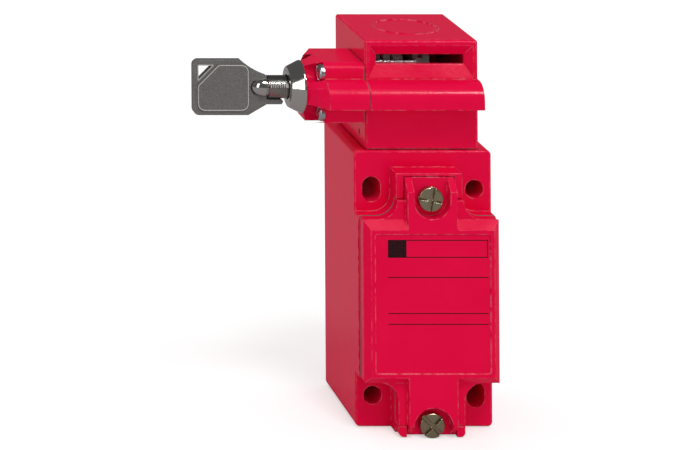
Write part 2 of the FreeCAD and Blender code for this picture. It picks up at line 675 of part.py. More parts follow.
def lock_screw_spots():
    middle = AXIS_H - LOCK_SCREW_DROP
    return [(LOCK_Y + sy * LOCK_SCREW_Y, middle + sz * LOCK_SCREW_Z) for sy in (-1, 1) for sz in (-1, 1)]


def head_casting():
    """Square head: mechanism chamber, actuator mouth, nose and a bored foot."""
    block = box(-HEAD_HALF, HEAD_HALF, -HEAD_DEPTH, 0, HEAD_LOW, HEAD_TOP)
    rims = [e for e in block.Edges if abs(e.CenterOfMass.z - up(HEAD_LOW)) > 1e-4]
    block = block.makeChamfer(HEAD_EDGE, rims)
    inside = HEAD_WALL - HEAD_DEPTH
    brow = nose_brow(NOSE_REACH, NOSE_R, NOSE_LOW, NOSE_TOP)
    nose = prism_x([(inside, NOSE_LOW)] + brow + [(inside, NOSE_TOP)], -HEAD_HALF, HEAD_HALF)
    badge = rod(Z_AXIS, 0, HEAD_Y, HEAD_TOP - BADGE_H, BADGE_R, 2 * BADGE_H)
    badge = badge.cut(rod(Z_AXIS, 0, HEAD_Y, HEAD_TOP - THROUGH, BADGE_R - BADGE_W, 2 * THROUGH))
    casting = fuse([block, nose, badge])
    chamber = box(-CAVITY_HALF, CAVITY_HALF, inside, -HEAD_WALL, CAVITY_LOW, HEAD_TOP - HEAD_WALL)
    bore = rod(Z_AXIS, 0, HEAD_Y, HEAD_LOW - THROUGH, SPIGOT_R + SPIGOT_FIT, HEAD_FLOOR + 2 * THROUGH)
    out_x = HEAD_SIDE_X - THROUGH
    axle_l = HEAD_W - HEAD_WALL + AXLE_INTO_WALL
    axle = rod(X_AXIS, out_x, CAM_Y, AXIS_H, AXLE_R + RUN_FIT, THROUGH + axle_l)
    bolt = rod(X_AXIS, out_x, LOCK_Y, AXIS_H, BOLT_R + RUN_FIT, HEAD_WALL + 2 * THROUGH)
    screws = [rod(X_AXIS, out_x, y, h, LOCK_SCREW_R, THROUGH + LOCK_SCREW_GRIP) for y, h in lock_screw_spots()]
    pins = [pin_bore(side) for side in (-1, 1)]
    return casting.cut([chamber, bore, axle, bolt] + head_mouth() + screws + pins)


def pin_bore(side):
    """Blind bore for a tangential pin, open on the left of the head."""
    y = HEAD_Y + side * PIN_OFFSET
    length = THROUGH + HEAD_W - HEAD_WALL / 2
    return rod(X_AXIS, HEAD_SIDE_X - THROUGH, y, HEAD_LOW + PIN_RISE, PIN_R + PIN_FIT, length)


def turret_pins():
    """Two pins that pass through the spigot's groove and hold the head."""
    length = HEAD_W - HEAD_WALL
    return Part.makeCompound([rod(X_AXIS, HEAD_SIDE_X + PIN_INSET, HEAD_Y + side * PIN_OFFSET,
                                  HEAD_LOW + PIN_RISE, PIN_R, length) for side in (-1, 1)])


def tongue_guide():
    """Thin steel strip under the actuator slot, turned up along its front edge."""
    low = SLOT_LOW - GUIDE_DROP
    start = GUIDE_SIDE_GAP - CAVITY_HALF
    front = HEAD_WALL - HEAD_DEPTH
    strip = box(start, GUIDE_END_X, front, front + GUIDE_REACH, low, low + GUIDE_T)
    lip = box(start, GUIDE_END_X, front, front + GUIDE_T, low, SLOT_LOW + GUIDE_LIP)
    return fuse([strip, lip])


# ---------------------------------------------------------------- lock

def lock_section(inset):
    """Side view of the lock housing: flush with the head in front, and its nose goes on.
    inset draws every side in."""
    front = inset - HEAD_DEPTH
    back = LOCK_Y + LOCK_REAR - inset
    top = LOCK_TOP - inset
    low = LOCK_LOW + inset
    brow_r = LOCK_BROW_R - inset
    r = LOCK_EDGE_R - inset
    brow_bend = brow_r * (1 - math.sqrt(0.5))
    bend = r * (1 - math.sqrt(0.5))
    brow = nose_brow(NOSE_REACH - inset, NOSE_R - inset, NOSE_LOW + inset, NOSE_TOP - inset)
    return [(front, NOSE_LOW + inset)] + brow + [
        (front, NOSE_TOP - inset), (front, top - brow_r),
        [(front + brow_bend, top - brow_bend), (front + brow_r, top)],
        (back - r, top), [(back - bend, top - bend), (back, top - r)],
        (back, low + r), [(back - bend, low + bend), (back - r, low)],
        (front, low)]


def lock_boss():
    """Boss that draws in from the housing's full section to its smaller outer end."""
    def ring(x, outline):
        points = [V(x, y, up(h)) for y, h in outline]
        return Part.makePolygon(points + points[:1])
    front = -HEAD_DEPTH
    nose = front - NOSE_REACH
    back = LOCK_Y + LOCK_REAR
    bend = NOSE_R * (1 - math.sqrt(0.5))
    wide = [(front, NOSE_LOW), (nose, NOSE_LOW), (nose, NOSE_TOP - NOSE_R), (nose + bend, NOSE_TOP - bend),
            (nose + NOSE_R, NOSE_TOP), (front, NOSE_TOP), (front, LOCK_TOP - LOCK_BROW_R),
            (front + LOCK_BROW_R, LOCK_TOP), (back - LOCK_EDGE_R, LOCK_TOP), (back, LOCK_TOP - LOCK_EDGE_R),
            (back, LOCK_LOW + LOCK_EDGE_R), (back - LOCK_EDGE_R, LOCK_LOW), (front, LOCK_LOW)]
    front = LOCK_Y - BOSS_HALF_Y
    nose = front - BOSS_NOSE
    back = LOCK_Y + BOSS_HALF_Y
    top = AXIS_H + BOSS_ABOVE_AXIS
    slant = BOSS_SLANT
    end = [(front, NOSE_LOW), (nose, NOSE_LOW), (nose, AXIS_H - slant / 2), (nose, AXIS_H + slant / 2),
           (front - BOSS_NOSE / 2, AXIS_H + slant), (front, AXIS_H + 1.5 * slant), (front, top - slant),
           (front + slant, top), (back - slant, top), (back, top - slant),
           (back, LOCK_LOW + slant), (back - slant, LOCK_LOW), (front, LOCK_LOW)]
    return Part.makeLoft([ring(SEAT_X, wide), ring(BOSS_X, end)], True, True)


def lock_housing():
    """Casting beside the head that carries the lock barrel and guides the bolt."""
    block = prism_x(lock_section(0.0), SEAT_X, LOCK_IN_X)
    out_x = BOSS_X - THROUGH
    pockets = [rod(X_AXIS, out_x, y, h, LOCK_HEAD_R + POCKET_GAP, SEAT_X - out_x) for y, h in lock_screw_spots()]
    housing = fuse([block, lock_boss().cut(pockets)])
    barrel = rod(X_AXIS, out_x, LOCK_Y, AXIS_H, BARREL_R, BARREL_IN_X - out_x)
    half = BOLT_COLLAR / 2 + RUN_FIT
    guide = box(BARREL_IN_X - THROUGH, LOCK_IN_X + THROUGH, LOCK_Y - half, LOCK_Y + half,
                AXIS_H - half, AXIS_H + half)
    seat = SEAT_X - THROUGH
    holes = [rod(X_AXIS, seat, y, h, LOCK_SCREW_R + LOCK_SCREW_FIT, LOCK_IN_X + THROUGH - seat)
             for y, h in lock_screw_spots()]
    return housing.cut([barrel, guide] + holes)


def lock_gasket():
    """Thin seal between the lock housing and the head."""
    seal = prism_x(lock_section(LOCK_SEAL_INSET), LOCK_IN_X, HEAD_SIDE_X)
    start = LOCK_IN_X - THROUGH
    deep = LOCK_SEAM + 2 * THROUGH
    holes = [rod(X_AXIS, start, y, h, LOCK_SCREW_R + LOCK_SCREW_FIT, deep) for y, h in lock_screw_spots()]
    middle = rod(X_AXIS, start, LOCK_Y, AXIS_H, BOLT_COLLAR * math.sqrt(0.5) + RUN_FIT, deep)
    axle = rod(X_AXIS, start, CAM_Y, AXIS_H, AXLE_R + RUN_FIT, deep)
    return seal.cut(holes + [middle, axle])


def lock_screws():
    """Four slotted screws through the housing into the head."""
    length = LOCK_BLOCK_L + LOCK_SEAM + LOCK_SCREW_GRIP - LOCK_SCREW_FIT
    return Part.makeCompound([screw(V(SEAT_X, y, up(h)), X_AXIS * -1, LOCK_HEAD_R, LOCK_HEAD_T,
                                    LOCK_SCREW_R, length) for y, h in lock_screw_spots()])


def lock_bezel():
    """Polished conical ring round the mouth of the lock."""
    ring = cone(X_AXIS, BEZEL_X, LOCK_Y, AXIS_H, BEZEL_NOSE_R, BEZEL_R, BEZEL_L)
    return ring.cut(rod(X_AXIS, BEZEL_X - THROUGH, LOCK_Y, AXIS_H, BARREL_R, BEZEL_L + 2 * THROUGH))


def lock_barrel():
    """Fixed sleeve of the lock: keyway in front, rotor chamber behind."""
    sleeve = rod(X_AXIS, BEZEL_X, LOCK_Y, AXIS_H, BARREL_R, BARREL_L)
    keyway = rod(X_AXIS, BEZEL_X - THROUGH, LOCK_Y, AXIS_H, KEYWAY_R, KEYWAY_DEPTH + 2 * THROUGH)
    chamber = rod(X_AXIS, KEYWAY_X, LOCK_Y, AXIS_H, ROTOR_R + RUN_FIT, BARREL_L)
    return sleeve.cut([keyway, chamber])


def lock_rotor():
    """Rotor with the centre post that the tubular key fits over, bored for the bolt."""
    drum = rod(X_AXIS, ROTOR_OUT_X, LOCK_Y, AXIS_H, ROTOR_R, ROTOR_L)
    post_x = BEZEL_X + ROTOR_END_GAP
    post = rod(X_AXIS, post_x, LOCK_Y, AXIS_H, ROTOR_POST_R, ROTOR_OUT_X - post_x)
    bore_x = ROTOR_IN_X - BOLT_TAIL - ROTOR_END_GAP
    bore = rod(X_AXIS, bore_x, LOCK_Y, AXIS_H, BOLT_R + RUN_FIT, ROTOR_IN_X + THROUGH - bore_x)
    return fuse([drum, post]).cut(bore)


def barrel_circlip():
    """Split ring that keeps the rotor in the barrel."""
    x = ROTOR_IN_X + CIRCLIP_SIDE_GAP
    ring = rod(X_AXIS, x, LOCK_Y, AXIS_H, ROTOR_R + RUN_FIT, CIRCLIP_T)
    ring = ring.cut(rod(X_AXIS, x - THROUGH, LOCK_Y, AXIS_H, BOLT_R + GAP, CIRCLIP_T + 2 * THROUGH))
    half = CIRCLIP_GAP / 2
    return ring.cut(box(x - THROUGH, x + CIRCLIP_T + THROUGH, LOCK_Y - half, LOCK_Y + half,
                        AXIS_H, AXIS_H + ROTOR_R + THROUGH))


def locking_bolt():
    """Bolt that slides into the first disc; its square collar keeps it from turning."""
    tail_x = ROTOR_IN_X - BOLT_TAIL
    pin = rod(X_AXIS, tail_x, LOCK_Y, AXIS_H, BOLT_R, BOLT_TIP_X - tail_x)
    half = BOLT_COLLAR / 2
    x = BARREL_IN_X + BOLT_COLLAR_GAP
    collar = box(x, x + BOLT_COLLAR_T, LOCK_Y - half, LOCK_Y + half, AXIS_H - half, AXIS_H + half)
    return fuse([pin, collar])


# ---------------------------------------------------------------- key

def key_shank():
    """Solid shank of the key with its round end, inside the bow."""
    end_x = TUBE_OUT_X - KEY_SHANK_L + KEY_SHANK_R
    shank = rod(X_AXIS, end_x, LOCK_Y, AXIS_H, KEY_SHANK_R, KEY_SHANK_L - KEY_SHANK_R)
    return [shank] + dome(V(end_x, LOCK_Y, up(AXIS_H)), X_AXIS * -1, KEY_SHANK_R)


def key_tube():
    """Tubular key blade on its solid shank."""
    tube = rod(X_AXIS, TUBE_OUT_X, LOCK_Y, AXIS_H, KEY_TUBE_R, KEY_REACH)
    bore_x = BEZEL_X + ROTOR_END_GAP - THROUGH
    tube = tube.cut(rod(X_AXIS, bore_x, LOCK_Y, AXIS_H, KEY_TUBE_BORE_R, KEY_REACH))
    return fuse([tube] + key_shank())


def bow_outline():
    """Front view of the bow: rounded square, waisted neck and a finger below the tube."""
    far = BOW_X - BOW_SIZE
    high = AXIS_H + BOW_SIZE / 2
    low = AXIS_H - BOW_SIZE / 2
    r = BOW_CORNER_R
    bend = r * (1 - math.sqrt(0.5))
    collar = TUBE_OUT_X - BOW_FINGER_GAP
    finger_top = AXIS_H - KEY_TUBE_R - BOW_FINGER_GAP
    finger_low = finger_top - BOW_FINGER_T
    finger_x = collar + BOW_FINGER_L
    tip = BOW_FINGER_TIP
    shoulder = BOW_NECK_L * 0.4
    return [(far, high - r), [(far + bend, high - bend), (far + r, high)],
            (BOW_X - shoulder, high), [(BOW_X + tip, high - shoulder), (collar, AXIS_H + KEY_TUBE_R)],
            (collar, finger_top), (finger_x - tip, finger_top), (finger_x, finger_top - tip),
            (finger_x - tip, finger_low), (collar, finger_low),
            (BOW_X, low), (far + r, low), [(far + bend, low + bend), (far, low + r)]]


def bow_panel_outline():
    """Raised panel, its upper left corner cut off beside the triangular hole."""
    far = BOW_X - BOW_SIZE + BOW_RIM
    near = BOW_X
    high = AXIS_H + BOW_SIZE / 2 - BOW_RIM
    low = AXIS_H - BOW_SIZE / 2 + BOW_RIM
    r = BOW_CORNER_R
    bend = r * (1 - math.sqrt(0.5))
    lean = BOW_HOLE + BOW_BAR
    return [(far, high - lean), (far + lean, high), (near - r, high),
            [(near - bend, high - bend), (near, high - r)], (near, low + r),
            [(near - bend, low + bend), (near - r, low)], (far + r, low),
            [(far + bend, low + bend), (far, low + r)]]


def key_bow():
    """Moulded grip of the key, with the hole for a ring."""
    half = BOW_T / 2
    plate = prism_y(bow_outline(), LOCK_Y - half, LOCK_Y + half)
    deep = half + BOW_PANEL_T
    panel = prism_y(bow_panel_outline(), LOCK_Y - deep, LOCK_Y + deep)
    far = BOW_X - BOW_SIZE + BOW_RIM
    high = AXIS_H + BOW_SIZE / 2 - BOW_RIM
    side = BOW_HOLE
    hole = prism_y([(far, high - side), (far, high), (far + side, high)], LOCK_Y - deep, LOCK_Y + deep)
    return fuse([plate, panel]).cut([hole] + key_shank())


# ---------------------------------------------------------------- coded cam

def cam_axle():
    """Axle across the head, in a bore in each side wall."""
    length = HEAD_W - HEAD_WALL + AXLE_INTO_WALL - 2 * AXLE_END_GAP
    return rod(X_AXIS, HEAD_SIDE_X + AXLE_END_GAP, CAM_Y, AXIS_H, AXLE_R, length)


def around_cam(radius, y_angle):
    """Y and height of a point round the cam axis; the angle runs from the top to the front."""
    turn = math.radians(y_angle)
    return CAM_Y - radius * math.sin(turn), AXIS_H + radius * math.cos(turn)


def plunger_track(x0, x1):
    """Room for the plunger's round tip as the cam turns and the plunger rises with it."""
    tools = []
    steps = TRACK_STEPS
    for step in range(steps + 1):
        turn = math.radians(CAM_SWING * step / steps)
        y = HEAD_Y - CAM_Y
        h = TIP_Z + PLUNGER_LIFT * step / steps - AXIS_H
        turned_y = y * math.cos(turn) - h * math.sin(turn)
        turned_h = y * math.sin(turn) + h * math.cos(turn)
        tools.append(rod(X_AXIS, x0 - THROUGH, CAM_Y + turned_y, AXIS_H + turned_h,
                         PLUNGER_R + CAM_GAP, x1 - x0 + 2 * THROUGH))
    return fuse(tools)


def cam_disc(index):
    """One coded disc, with the notch that the actuator's tongue catches."""
    x0, x1 = DISC_SPANS[index]
    start = x0 - THROUGH
    deep = x1 - x0 + 2 * THROUGH
    disc = rod(X_AXIS, x0, CAM_Y, AXIS_H, CAM_R, x1 - x0)
    y, h = around_cam(CAM_R, DISC_NOTCHES[index])
    tools = [rod(X_AXIS, start, CAM_Y, AXIS_H, AXLE_R, deep), rod(X_AXIS, start, y, h, DISC_NOTCH_R, deep)]
    if index == 0:
        for swing in (0, CAM_SWING):
            y, h = around_cam(LOCK_FORWARD, 90 + swing)
            tools.append(rod(X_AXIS, start, y, h, BOLT_R + LOCK_HOLE_GAP, deep))
    if index == DRIVING_DISC:
        tools.append(plunger_track(x0, x1))
    return disc.cut(tools)


# ---------------------------------------------------------------- plunger and contacts

def plunger():
    """Round plunger between the cam and the contact carrier."""
    body = rod(Z_AXIS, 0, HEAD_Y, STEM_TOP, PLUNGER_R, TIP_Z - STEM_TOP)
    return fuse([body] + dome(V(0, HEAD_Y, up(TIP_Z)), Z_AXIS, PLUNGER_R))


def plunger_bush():
    """Flanged bush that guides the plunger through the spigot."""
    low = BODY_H - WALL
    high = BODY_H + SPIGOT_H
    tube = rod(Z_AXIS, 0, HEAD_Y, low, BUSH_R, high - low)
    flange = rod(Z_AXIS, 0, HEAD_Y, high, BUSH_FLANGE_R, BUSH_FLANGE_T)
    bore = rod(Z_AXIS, 0, HEAD_Y, low - THROUGH, PLUNGER_R + RUN_FIT, high - low + BUSH_FLANGE_T + 2 * THROUGH)
    return fuse([tube, flange]).cut(bore)


def pole_heights():
    return [BLOCK_LOW + POLE_RISE + POLE_PITCH * i for i in range(POLE_COUNT)]


def block_screw_spots():
    h = BLOCK_LOW + BLOCK_SCREW_RISE
    return [(-TERMINAL_X, h), (TERMINAL_X, h)]


def contact_block():
    """Moulded base: back plate, a tower of terminals on each side and a bay between them."""
    half = BLOCK_W / 2
    bay = BLOCK_BAY_W / 2
    front = BLOCK_FRONT_Y
    out_y = front - THROUGH
    back = -WALL
    base = box(-half, half, front, back, BLOCK_LOW, BLOCK_TOP)
    floor = BLOCK_LOW + BLOCK_FLOOR
    roof = BLOCK_TOP - BLOCK_ROOF
    inside = box(-bay, bay, out_y, back - BLOCK_BACK_T, floor, roof)
    tools = [inside, rod(Z_AXIS, 0, HEAD_Y, roof - THROUGH, STEM_R + RUN_FIT, BLOCK_ROOF + 2 * THROUGH)]
    slit = half - BLOCK_END_WALL
    slit_back = HEAD_Y + STRIP_W / 2 + TERMINAL_FIT
    for h in pole_heights():
        blade = h + STRIP_RISE
        tools.append(box(-slit, slit, out_y, slit_back, blade - BLOCK_SLIT_GAP, blade + STRIP_T + BLOCK_SLIT_GAP))
        tools += [rod(Y_AXIS, x, out_y, h, TERMINAL_SCREW_R, TERMINAL_SCREW_L + THROUGH)
                  for x in (-TERMINAL_X, TERMINAL_X)]
    tools += [rod(Y_AXIS, x, out_y, h, BLOCK_SCREW_R, back - front + 2 * THROUGH) for x, h in block_screw_spots()]
    rails = []
    near = CARRIER_W / 2 + CARRIER_SIDE_GAP
    for side in (-1, 1):
        x0, x1 = sorted((side * near, side * (near + CARRIER_RAIL_W)))
        rails.append(box(x0, x1, HEAD_Y + CARRIER_DEPTH / 2 - CARRIER_RAIL_LAP, back - BLOCK_BACK_T,
                         floor, roof))
    return fuse([base.cut(tools)] + rails)


def contact_block_cover():
    """Plate that closes the bay between the two towers."""
    half = BLOCK_BAY_W / 2
    return box(-half, half, BLOCK_FRONT_Y - BLOCK_COVER_T, BLOCK_FRONT_Y,
               BLOCK_LOW + BLOCK_COVER_INSET, BLOCK_TOP - BLOCK_COVER_INSET)


def fixed_contact(side, h):
    """Bent strip: terminal plate in front, blade running back to a contact pad."""
    front = BLOCK_FRONT_Y
    outer = BLOCK_W / 2 - STRIP_END_GAP
    inner = BLOCK_BAY_W / 2 + BLOCK_END_WALL
    blade_h = h + STRIP_RISE
    top = blade_h + STRIP_T
    x0, x1 = sorted((side * inner, side * outer))
    plate = box(x0, x1, front - STRIP_T, front, top - STRIP_PLATE_H, top)
    x0, x1 = sorted((side * (PAD_X - PAD_R), side * outer))
    blade = box(x0, x1, front, HEAD_Y + STRIP_W / 2, blade_h, top)
    pad = rod(Z_AXIS, side * PAD_X, HEAD_Y, blade_h - PAD_T, PAD_R, PAD_T)
    hole = rod(Y_AXIS, side * TERMINAL_X, front - STRIP_T - THROUGH, h, TERMINAL_SCREW_R + TERMINAL_FIT,
               STRIP_T + THROUGH)
    return fuse([plate, blade, pad]).cut(hole)


def bridge_top(h):
    """Top of the bridge's strip with the contacts open."""
    return h + STRIP_RISE - PAD_T - CONTACT_GAP - PLUNGER_LIFT - PAD_T


def contact_bridge(h):
    """Moving contact: a strip with a pad at each end."""
    top = bridge_top(h)
    half = BRIDGE_L / 2
    strip = box(-half, half, HEAD_Y - BRIDGE_W / 2, HEAD_Y + BRIDGE_W / 2, top - BRIDGE_T, top)
    pads = [rod(Z_AXIS, x, HEAD_Y, top, PAD_R, PAD_T) for x in (-PAD_X, PAD_X)]
    return fuse([strip] + pads)


def window_low(h):
    return bridge_top(h) - BRIDGE_T - WINDOW_SPRING_H


def contact_carrier():
    """Sliding carrier with a window for each bridge and a stem up to the plunger."""
    half = CARRIER_W / 2
    deep = CARRIER_DEPTH / 2
    top = BLOCK_TOP - BLOCK_ROOF - PLUNGER_LIFT - CARRIER_TOP_GAP
    bar = box(-half, half, HEAD_Y - deep, HEAD_Y + deep, CARRIER_LOW, top)
    stem = rod(Z_AXIS, 0, HEAD_Y, top, STEM_R, STEM_TOP - top)
    side = BRIDGE_W / 2 + TERMINAL_FIT
    wide = half + THROUGH
    windows = [box(-wide, wide, HEAD_Y - side, HEAD_Y + side, window_low(h), bridge_top(h))
               for h in pole_heights()]
    return fuse([bar, stem]).cut(windows)


def contact_spring(h):
    return coil(0, HEAD_Y, window_low(h), bridge_top(h) - BRIDGE_T, CONTACT_SPRING_R, CONTACT_SPRING_TURNS)


def return_spring():
    return coil(0, HEAD_Y, BLOCK_LOW + BLOCK_FLOOR, CARRIER_LOW, RETURN_SPRING_R, RETURN_SPRING_TURNS)


def terminal_spots():
    return [(side * TERMINAL_X, h) for h in pole_heights() for side in (-1, 1)]


def terminal_clamps():
    """Square wire clamps under the terminal screws."""
    made = []
    half = CLAMP_W / 2
    back = BLOCK_FRONT_Y - STRIP_T
    for x, h in terminal_spots():
        plate = box(x - half, x + half, back - CLAMP_T, back, h - half, h + half)
        made.append(plate.cut(rod(Y_AXIS, x, back - CLAMP_T - THROUGH, h, TERMINAL_SCREW_R + TERMINAL_FIT,
                                  CLAMP_T + 2 * THROUGH)))
    return Part.makeCompound(made)


def terminal_screws():
    made = []
    seat_y = BLOCK_FRONT_Y - STRIP_T - CLAMP_T
    for x, h in terminal_spots():
        made.append(screw(V(x, seat_y, up(h)), Y_AXIS * -1, TERMINAL_HEAD_R, TERMINAL_HEAD_T,
                          TERMINAL_SCREW_R, TERMINAL_SCREW_L))
    return Part.makeCompound(made)


def block_screws():
    """Two long screws that hold the contact block to the back wall."""
    length = -BLOCK_FRONT_Y - BLOCK_SCREW_SKIN - TERMINAL_FIT
    return Part.makeCompound([screw(V(x, BLOCK_FRONT_Y, up(h)), Y_AXIS * -1, BLOCK_SCREW_HEAD_R,
                                    TERMINAL_HEAD_T, BLOCK_SCREW_R, length) for x, h in block_screw_spots()])


def earth_screw():
    seat = V(EARTH_X, EARTH_Y, up(CHAMBER_LOW))
    return screw(seat, Z_AXIS, TERMINAL_HEAD_R, TERMINAL_HEAD_T, TERMINAL_SCREW_R, TERMINAL_SCREW_L - TERMINAL_FIT)


# ---------------------------------------------------------------- nodes

def nodes():
    made = {
        "body_casting": body_casting(),
        "cover_gasket": cover_gasket(),
        "front_cover": front_cover(),
        "cover_screws": cover_screws(),
        "head_gasket": head_gasket(),
        "head_casting": head_casting(),
        "turret_pins": turret_pins(),
        "tongue_guide": tongue_guide(),
        "lock_gasket": lock_gasket(),
        "lock_housing": lock_housing(),
        "lock_screws": lock_screws(),
        "lock_bezel": lock_bezel(),
        "lock_barrel": lock_barrel(),
        "lock_rotor": lock_rotor(),
        "barrel_circlip": barrel_circlip(),
        "locking_bolt": locking_bolt(),
        "key_tube": key_tube(),
        "key_bow": key_bow(),
        "cam_axle": cam_axle(),
        "plunger": plunger(),
        "plunger_bush": plunger_bush(),
        "contact_block": contact_block(),
        "contact_block_cover": contact_block_cover(),
        "contact_carrier": contact_carrier(),
        "return_spring": return_spring(),
        "terminal_clamps": terminal_clamps(),
        "terminal_screws": terminal_screws(),
        "block_screws": block_screws(),
        "earth_screw": earth_screw(),
    }
    for index in range(len(DISC_SPANS)):
        made["cam_disc_%d" % (index + 1)] = cam_disc(index)
    for index, h in enumerate(pole_heights()):
        made["contact_bridge_%d" % (index + 1)] = contact_bridge(h)
        made["contact_spring_%d" % (index + 1)] = contact_spring(h)
        made["fixed_contact_left_%d" % (index + 1)] = fixed_contact(-1, h)
        made["fixed_contact_right_%d" % (index + 1)] = fixed_contact(1, h)
    return made


os.makedirs("parts", exist_ok=True)
for name, shape in nodes().items():
    if not shape.isValid():
        raise ValueError("shape is not valid: " + name)
    shape.exportStep(os.path.join("parts", name + ".step"))
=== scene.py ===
import json
import math

import bpy
import numpy as np
from mathutils import Matrix, Vector


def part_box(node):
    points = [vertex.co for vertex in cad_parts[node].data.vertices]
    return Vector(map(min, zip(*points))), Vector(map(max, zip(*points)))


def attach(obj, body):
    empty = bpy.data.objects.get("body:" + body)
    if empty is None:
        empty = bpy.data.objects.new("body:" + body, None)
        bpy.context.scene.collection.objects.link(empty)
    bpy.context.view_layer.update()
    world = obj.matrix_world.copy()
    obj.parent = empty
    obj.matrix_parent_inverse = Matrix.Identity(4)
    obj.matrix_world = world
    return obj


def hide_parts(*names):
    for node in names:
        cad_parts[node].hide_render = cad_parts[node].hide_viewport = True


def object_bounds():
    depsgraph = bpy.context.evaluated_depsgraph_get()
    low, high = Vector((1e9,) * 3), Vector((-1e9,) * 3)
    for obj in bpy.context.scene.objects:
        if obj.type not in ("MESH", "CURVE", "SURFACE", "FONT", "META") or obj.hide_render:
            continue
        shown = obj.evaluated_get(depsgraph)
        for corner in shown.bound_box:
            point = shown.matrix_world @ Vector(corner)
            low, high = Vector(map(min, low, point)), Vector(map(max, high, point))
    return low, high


bl_info = {
    "name": "Interlock Switch Finisher",
    "version": (1, 0, 0),
    "blender": (4, 5, 0),
    "location": "3D View > Sidebar > Switch",
    "description": "Dresses a key-locked tongue interlock switch and sets its stage",
    "category": "Object",
}

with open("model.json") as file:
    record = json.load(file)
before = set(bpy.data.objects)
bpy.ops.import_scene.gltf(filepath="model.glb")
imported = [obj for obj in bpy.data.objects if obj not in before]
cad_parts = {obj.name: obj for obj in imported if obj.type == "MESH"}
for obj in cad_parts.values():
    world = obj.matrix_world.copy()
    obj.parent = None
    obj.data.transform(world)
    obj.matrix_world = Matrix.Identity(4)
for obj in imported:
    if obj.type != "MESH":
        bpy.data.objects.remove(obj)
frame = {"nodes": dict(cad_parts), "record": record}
NODES = frame["nodes"]
MM = 0.001
CAD_LOW, CAD_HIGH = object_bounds()
SLOT_OF = {part["node"]: part["material_slot"] for part in frame["record"]["subparts"]}


# ---------------------------------------------------------------- properties

class SwitchFinishes(bpy.types.PropertyGroup):
    """Colours and grain of the switch's surfaces."""

    enamel: bpy.props.FloatVectorProperty(
        name="Enamel", description="Colour of the stoved enamel on the castings",
        subtype="COLOR", size=3, min=0, max=1, default=(0.86, 0.0022, 0.058))
    gasket: bpy.props.FloatVectorProperty(
        name="Gasket", description="Colour of the sealing rubber",
        subtype="COLOR", size=3, min=0, max=1, default=(0.12, 0.125, 0.12))
    passivate: bpy.props.FloatVectorProperty(
        name="Passivate", description="Colour of the yellow-passivated screws",
        subtype="COLOR", size=3, min=0, max=1, default=(0.46, 0.42, 0.22))
    zinc: bpy.props.FloatVectorProperty(
        name="Zinc", description="Colour of the bright zinc plate",
        subtype="COLOR", size=3, min=0, max=1, default=(0.66, 0.67, 0.70))
    chrome: bpy.props.FloatVectorProperty(
        name="Chrome", description="Colour of the polished chrome plate",
        subtype="COLOR", size=3, min=0, max=1, default=(0.68, 0.655, 0.63))
    grip: bpy.props.FloatVectorProperty(
        name="Key grip", description="Colour of the key's grip",
        subtype="COLOR", size=3, min=0, max=1, default=(0.105, 0.10, 0.09))
    # Pale bead colour: rubbed wear plus a painted highlight
    worn_and_highlit_grip: bpy.props.FloatVectorProperty(
        name="Worn grip", description="Colour of the grip's rubbed beads",
        subtype="COLOR", size=3, min=0, max=1, default=(0.52, 0.50, 0.46))
    ink: bpy.props.FloatVectorProperty(
        name="Ink", description="Colour of the printed frame and rules",
        subtype="COLOR", size=3, min=0, max=1, default=(0.022, 0.008, 0.010))
    polymer: bpy.props.FloatVectorProperty(
        name="Polymer", description="Colour of the plunger, bush and discs",
        subtype="COLOR", size=3, min=0, max=1, default=(0.42, 0.42, 0.41))
    moulding: bpy.props.FloatVectorProperty(
        name="Moulding", description="Colour of the contact block",
        subtype="COLOR", size=3, min=0, max=1, default=(0.03, 0.03, 0.033))
    brass: bpy.props.FloatVectorProperty(
        name="Brass", description="Colour of the contact strips",
        subtype="COLOR", size=3, min=0, max=1, default=(0.72, 0.52, 0.22))
    edge_radius: bpy.props.FloatProperty(
        name="Edge radius", description="How far the enamel rounds a sharp edge",
        unit="LENGTH", min=0, default=0.42 * MM)
    peel_size: bpy.props.FloatProperty(
        name="Peel size", description="Width of the ripples in the enamel",
        unit="LENGTH", min=0, default=0.9 * MM)


